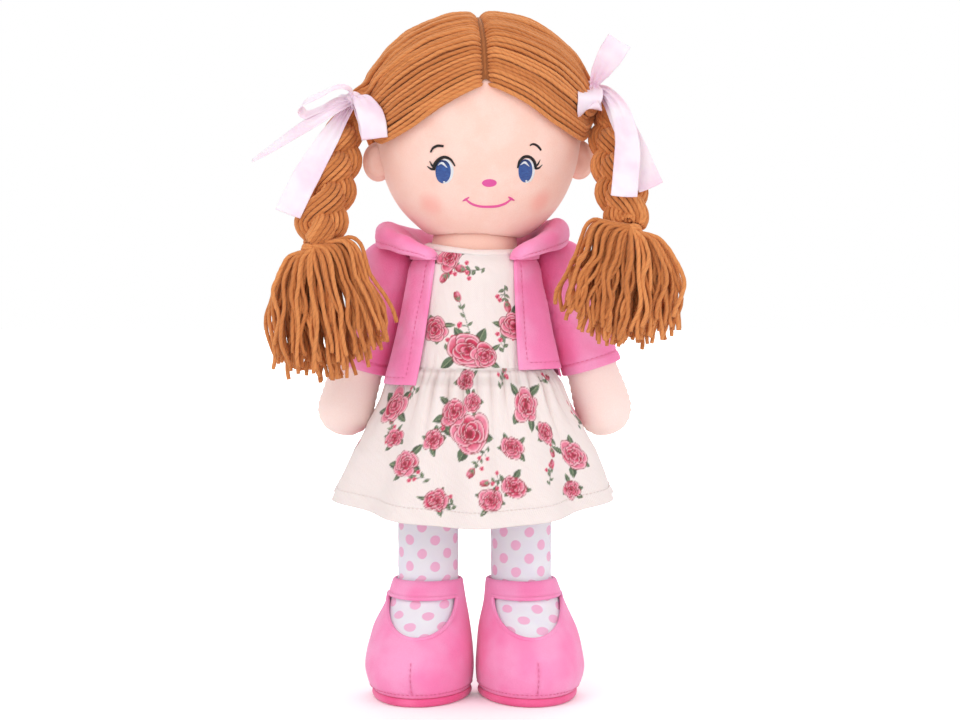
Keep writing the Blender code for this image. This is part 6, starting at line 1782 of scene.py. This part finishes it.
def make_leg(name, side, tights):
    columns = 96
    angle = circle(columns)[None]
    inside = SHOE_WALL + SHELL_GAP
    floor = SHOE_BOTTOM + SHOE_WALL + GAP
    z = np.linspace(floor, SHOE_HEIGHT, 60)[:, None]
    foot = shoe_points(side, z, angle, inside - 0.0003)

    def ring_at(r, h):
        return np.stack([side * HIP_SPACING / 2 + r * np.sin(angle), r * np.cos(angle), h + 0 * angle], -1)

    top = [foot]
    for h in np.linspace(SHOE_HEIGHT, HIP_HEIGHT, 50)[1:]:
        r = ANKLE_RADIUS + (THIGH_RADIUS - ANKLE_RADIUS) * (h - SHOE_HEIGHT) / (HIP_HEIGHT - SHOE_HEIGHT)
        r = r + 0.0004 * math.sin(h / 0.011) * step(SHOE_HEIGHT + 0.02, SHOE_HEIGHT, h)
        top.append(ring_at(r, h))
    for a in np.linspace(0, PI / 2, 12)[1:-1]:
        r, h = THIGH_RADIUS * math.cos(a), HIP_HEIGHT + THIGH_RADIUS * math.sin(a)
        top.append(ring_at(r, h))
    points = np.concatenate(top) + MIDDLE
    front = points[:, columns // 2]
    run = along_line(front)
    around = np.linspace(-PI, PI, columns + 1)[None]
    u = around * (ANKLE_RADIUS + 0.35
                  * (np.abs(points[:, columns // 4, 0] - points[:, 3 * columns // 4, 0]) / 2
                                         - ANKLE_RADIUS))[:, None]
    v = run[:, None] + 0 * u
    leg = surface("tights_" + name, points, True, u=u + side * 0.004, v=v + (0.003 if side > 0 else 0),
                  caps=(True, True), flip=True)
    finish_piece(leg, "leg_" + name, tights, "tights", "leg_" + name, padded=0.85)


def vamp_outline(count):
    angle = np.linspace(0, PI, count)
    drop = (VAMP_TOP - VAMP_BOTTOM) * np.sin(angle) ** 0.7
    lower = np.stack([VAMP_HALF_WIDTH * np.cos(angle), VAMP_TOP - drop], 1)
    x = np.linspace(-1, 1, count // 2)[1:-1]
    upper = np.stack([VAMP_HALF_WIDTH * x, VAMP_TOP + 0.0006 * (x**2 - 1)], 1)
    return np.concatenate([lower, upper])


def make_shoe(name, side, velour, sole_velour, thread):
    columns = 120
    angle = circle(columns)[None]
    z = np.concatenate([np.linspace(SHOE_BOTTOM, SHOE_HEIGHT - 0.003, 80),
                        SHOE_HEIGHT - 0.003 + 0.003 * np.array([0.4, 0.7, 0.88, 0.97, 1.0])])[:, None]
    outer = shoe_points(side, z, angle, 0)
    inner = shoe_points(side, np.maximum(z, SHOE_BOTTOM + SHOE_WALL), angle, SHOE_WALL)
    low = step(SHOE_BOTTOM + 0.004, SHOE_BOTTOM, z)
    out = unit(outer - np.array([side * SHOE_SPACING / 2, 0, 0.03]))
    soft = wobble(outer, 0.03, 12) * 0.0005
    toe = angle - PI
    seam = np.exp(-((toe / 0.016) ** 2)) * step(0.030, 0.022, z) * 0.0011
    outer = outer + out * (soft - seam)[..., None] * (1 - low)[..., None]
    rim = rounded(SHOE_HEIGHT - z, 0.0014)
    middle, half = (outer + inner) / 2, (outer - inner) / 2
    full = np.maximum(rim, 0.05)[..., None]
    outer, inner = middle + half * full, middle - half * full
    floor_out = np.tile(np.array([side * SHOE_SPACING / 2, 0, SHOE_BOTTOM]), (1, columns, 1))
    floor_in = np.tile(np.array([side * SHOE_SPACING / 2, 0, SHOE_BOTTOM + SHOE_WALL]), (1, columns, 1))
    outer = np.concatenate([floor_out, outer]) + MIDDLE
    inner = np.concatenate([floor_in, inner]) + MIDDLE
    shoe = slab("velour_shoe_" + name, outer, inner, True, u=np.linspace(0, 0.16, columns + 1),
                v=np.append(-0.02, z[:, 0]))
    shoe.data.materials.append(velour)
    outline = vamp_outline(60)
    turn = side * TOE_OUT
    middle_x = side * (HIP_SPACING + SHOE_SPACING) / 4
    rings = []
    for y in (-0.1, -THIGH_RADIUS / 3):
        x = outline[:, 0]
        rings.append(np.stack([middle_x + x * math.cos(turn) - y * math.sin(turn),
                               x * math.sin(turn) + y * math.cos(turn), outline[:, 1]], 1) + MIDDLE)
    cutter = surface("vamp_room_" + name, np.array(rings), True, caps=(True, True))
    weld(cutter)
    cut = shoe.modifiers.new("vamp", "BOOLEAN")
    cut.operation, cut.object, cut.solver = "DIFFERENCE", cutter, "EXACT"
    bpy.context.view_layer.update()
    seen = bpy.context.evaluated_depsgraph_get()
    shape = bpy.data.meshes.new_from_object(shoe.evaluated_get(seen))
    shoe.modifiers.clear()
    shoe.data = shape
    bpy.data.objects.remove(cutter)
    shape.shade_smooth()
    line = np.array([surface_at(side, x, h) for x, h in np.vstack([outline, outline[:1]])]) + MIDDLE
    piping = yarns("piping_" + name, evenly(line, 160)[None], 0.0013, 1, 10, 2, lobe=0)
    piping.data.materials.append(velour)
    whole = joined("velour_shoe_" + name, [shoe, piping])
    finish_piece(whole, "leg_" + name, velour, "velour", "shoe_" + name)
    rows = []
    for share, inset in ((0, 0.55), (0.0, 0.42), (0.12, 0.16), (0.35, 0.0), (0.62, -0.05), (0.86, 0.0),
                         (1, 0.12)):
        ring = shoe_points(side, np.array([[SHOE_BOTTOM]]), angle, inset * 0.005 - GAP - 0.0002)[0]
        ring[:, 2] = 0.005 * share
        rows.append(ring)
    sole = surface("velour_sole_" + name, np.array(rows) + MIDDLE, True, u=np.linspace(0, 0.2, columns + 1),
                   v=np.linspace(0, 0.01, 7), caps=(True, True), flip=True)
    finish_piece(sole, "leg_" + name, sole_velour, "sole_cloth", "sole_" + name, padded=0.5)
    ring = shoe_points(side, np.array([[SHOE_BOTTOM + 0.0022]]), angle, -0.0001)[0] + MIDDLE
    ring = np.concatenate([ring, ring[:1]])
    sewn = [seam_row("sole_row", ring, ring - ring[:-1].mean(0), 360, thread, (0.0020, 0.0008, 0.00026))]
    heights = np.linspace(SHOE_BOTTOM + 0.003, 0.027, 40)
    toe_line = shoe_points(side, heights[:, None], np.array([[PI]]), 0.0004)[:, 0] + MIDDLE
    toe_out = np.tile(np.array([0, -1.0, 0.2]), (40, 1))
    sewn.append(stitches("toe_row", toe_line, toe_out, 0.0022, 0.0009, 0.00024, thread))
    finish_piece(joined("shoe_stitches_" + name, sewn), "leg_" + name, None, "velour")


def surface_at(side, x, height):
    """The place on the shoe's surface that a view from its toe meets."""
    angles = np.linspace(PI / 2, 3 * PI / 2, 181)
    ring = shoe_points(side, np.array([[height]]), angles[None], 0.0004)[0]
    turn = side * TOE_OUT
    middle_x = side * (HIP_SPACING + SHOE_SPACING) / 4
    local = (ring[:, 0] - middle_x) * math.cos(turn) + ring[:, 1] * math.sin(turn)
    order = np.argsort(local)
    return [np.interp(x, local[order], ring[order, k]) for k in range(3)]


# Scene

def floor_finish():
    """White studio floor: it keeps the shadow near the shoes and is plain white farther off."""
    f = Finish("studio_floor", 0.9)
    f.colour(f.ramp(f.noise(f.place(), 3.0), 0.2, 0.8, srgb(250, 250, 250), srgb(253, 253, 253)))
    far = f.node("VectorMath", {0: f.place(), 1: (float(MIDDLE[0]), float(MIDDLE[1]), 0.0)}, out=1,
                 operation="DISTANCE")
    glow = f.share(far, 0.13, 0.60, 0.12, 1.0)
    seen = f.node("LightPath", out=0)
    f.shader.inputs["Emission Color"].default_value = (1, 1, 1, 1)
    f.tree.links.new(f.times(seen, glow), f.shader.inputs["Emission Strength"])
    return f.material


def make_stage():
    bpy.ops.mesh.primitive_plane_add(size=8, location=(0, 0, 0))
    floor = bpy.context.object
    floor.name = "floor"
    floor.data.materials.append(floor_finish())
    world = bpy.data.worlds.new("studio")
    bpy.context.scene.world = world
    world.use_nodes = True
    tree = world.node_tree
    back = tree.nodes["Background"]
    path = tree.nodes.new("ShaderNodeLightPath")
    seen = tree.nodes.new("ShaderNodeMath")
    seen.operation = "MAXIMUM"
    tree.links.new(path.outputs["Is Camera Ray"], seen.inputs[0])
    tree.links.new(path.outputs["Is Glossy Ray"], seen.inputs[1])
    strength = tree.nodes.new("ShaderNodeMapRange")
    tree.links.new(seen.outputs[0], strength.inputs["Value"])
    strength.inputs["To Min"].default_value = 0.86
    strength.inputs["To Max"].default_value = 1.0
    tree.links.new(strength.outputs[0], back.inputs["Strength"])
    back.inputs["Color"].default_value = (1, 1, 1, 1)
    for name, place, size, power in (
        ("key", (-0.9, -1.5, 1.5), 1.2, 9), ("fill", (1.3, -1.3, 0.9), 1.4, 5),
        ("rear", (0.2, 1.3, 1.4), 1.2, 7),
    ):
        lamp = bpy.data.lights.new(name, "AREA")
        lamp.energy, lamp.size = power, size
        holder = bpy.data.objects.new(name, lamp)
        holder.location = place
        aim = Vector((0, 0, 0.22)) - Vector(place)
        holder.rotation_euler = aim.to_track_quat("-Z", "Y").to_euler()
        bpy.context.scene.collection.objects.link(holder)
    camera = bpy.data.objects.new("camera", bpy.data.cameras.new("camera"))
    bpy.context.scene.collection.objects.link(camera)
    bpy.context.scene.camera = camera
    camera.data.sensor_width = 36
    camera.data.lens = 102.8
    aside = MIDDLE[0] + 0.00315
    camera.location = (aside, -1.6, 0.30)
    aim = Vector((aside, 0, 0.197)) - camera.location
    camera.rotation_euler = aim.to_track_quat("-Z", "Y").to_euler()
    camera.data.clip_start, camera.data.clip_end = 0.05, 50
    bpy.context.scene.view_settings.view_transform = "Standard"


def main():
    make_stage()
    cheeks = []
    for x, h in ((-30.5, 25.5), (33.0, 26.7)):
        spot = from_head(face_point(np.array(x * MM), np.array(h * MM), 0.0))
        cheeks.append((spot, 0.0015, 0.0105, 0.42))
    skin = skin_finish("head_skin", cheeks)
    plain_skin = skin_finish("arm_skin", tint=srgb(255, 233, 229))
    velour = velour_finish("pink_velour", srgb(255, 163, 208), srgb(255, 133, 188))
    sole_velour = velour_finish("sole_velour", srgb(253, 122, 172), srgb(244, 92, 150))
    yarn = yarn_finish("hair_yarn", srgb(226, 146, 84), srgb(200, 120, 62), srgb(120, 60, 24))
    # The darker yarn is painted shade, for the sheet under the hair and the sunk parting.
    painted_shade_yarn = yarn_finish("hair_seam_yarn", srgb(178, 106, 54), srgb(148, 86, 42), srgb(98, 54, 26))
    # The satin's second colour is painted shade, laid in broad patches.
    satin = satin_finish("pink_satin", srgb(255, 242, 249), srgb(249, 216, 234))
    thread = thread_finish("pink_sewing_thread", srgb(240, 90, 150), srgb(255, 150, 195))
    cotton = print_finish("printed_cotton")
    tights = dotted_finish("dotted_knit")
    make_head(skin)
    make_face()
    make_hair(yarn, painted_shade_yarn)
    make_braids(yarn, satin)
    make_dress(cotton)
    make_jacket(velour, thread)
    make_arms(plain_skin, velour, thread)
    soft_copy("torso", "torso_cloth", "torso", plain_skin, "skin", padded=0.8)
    for name, side in SIDES:
        soft_copy("arm_tab_" + name, "arm_tab_cloth_" + name, "arm_tab_" + name, plain_skin, "skin")
        make_leg(name, side, tights)
        make_shoe(name, side, velour, sole_velour, thread)


main()
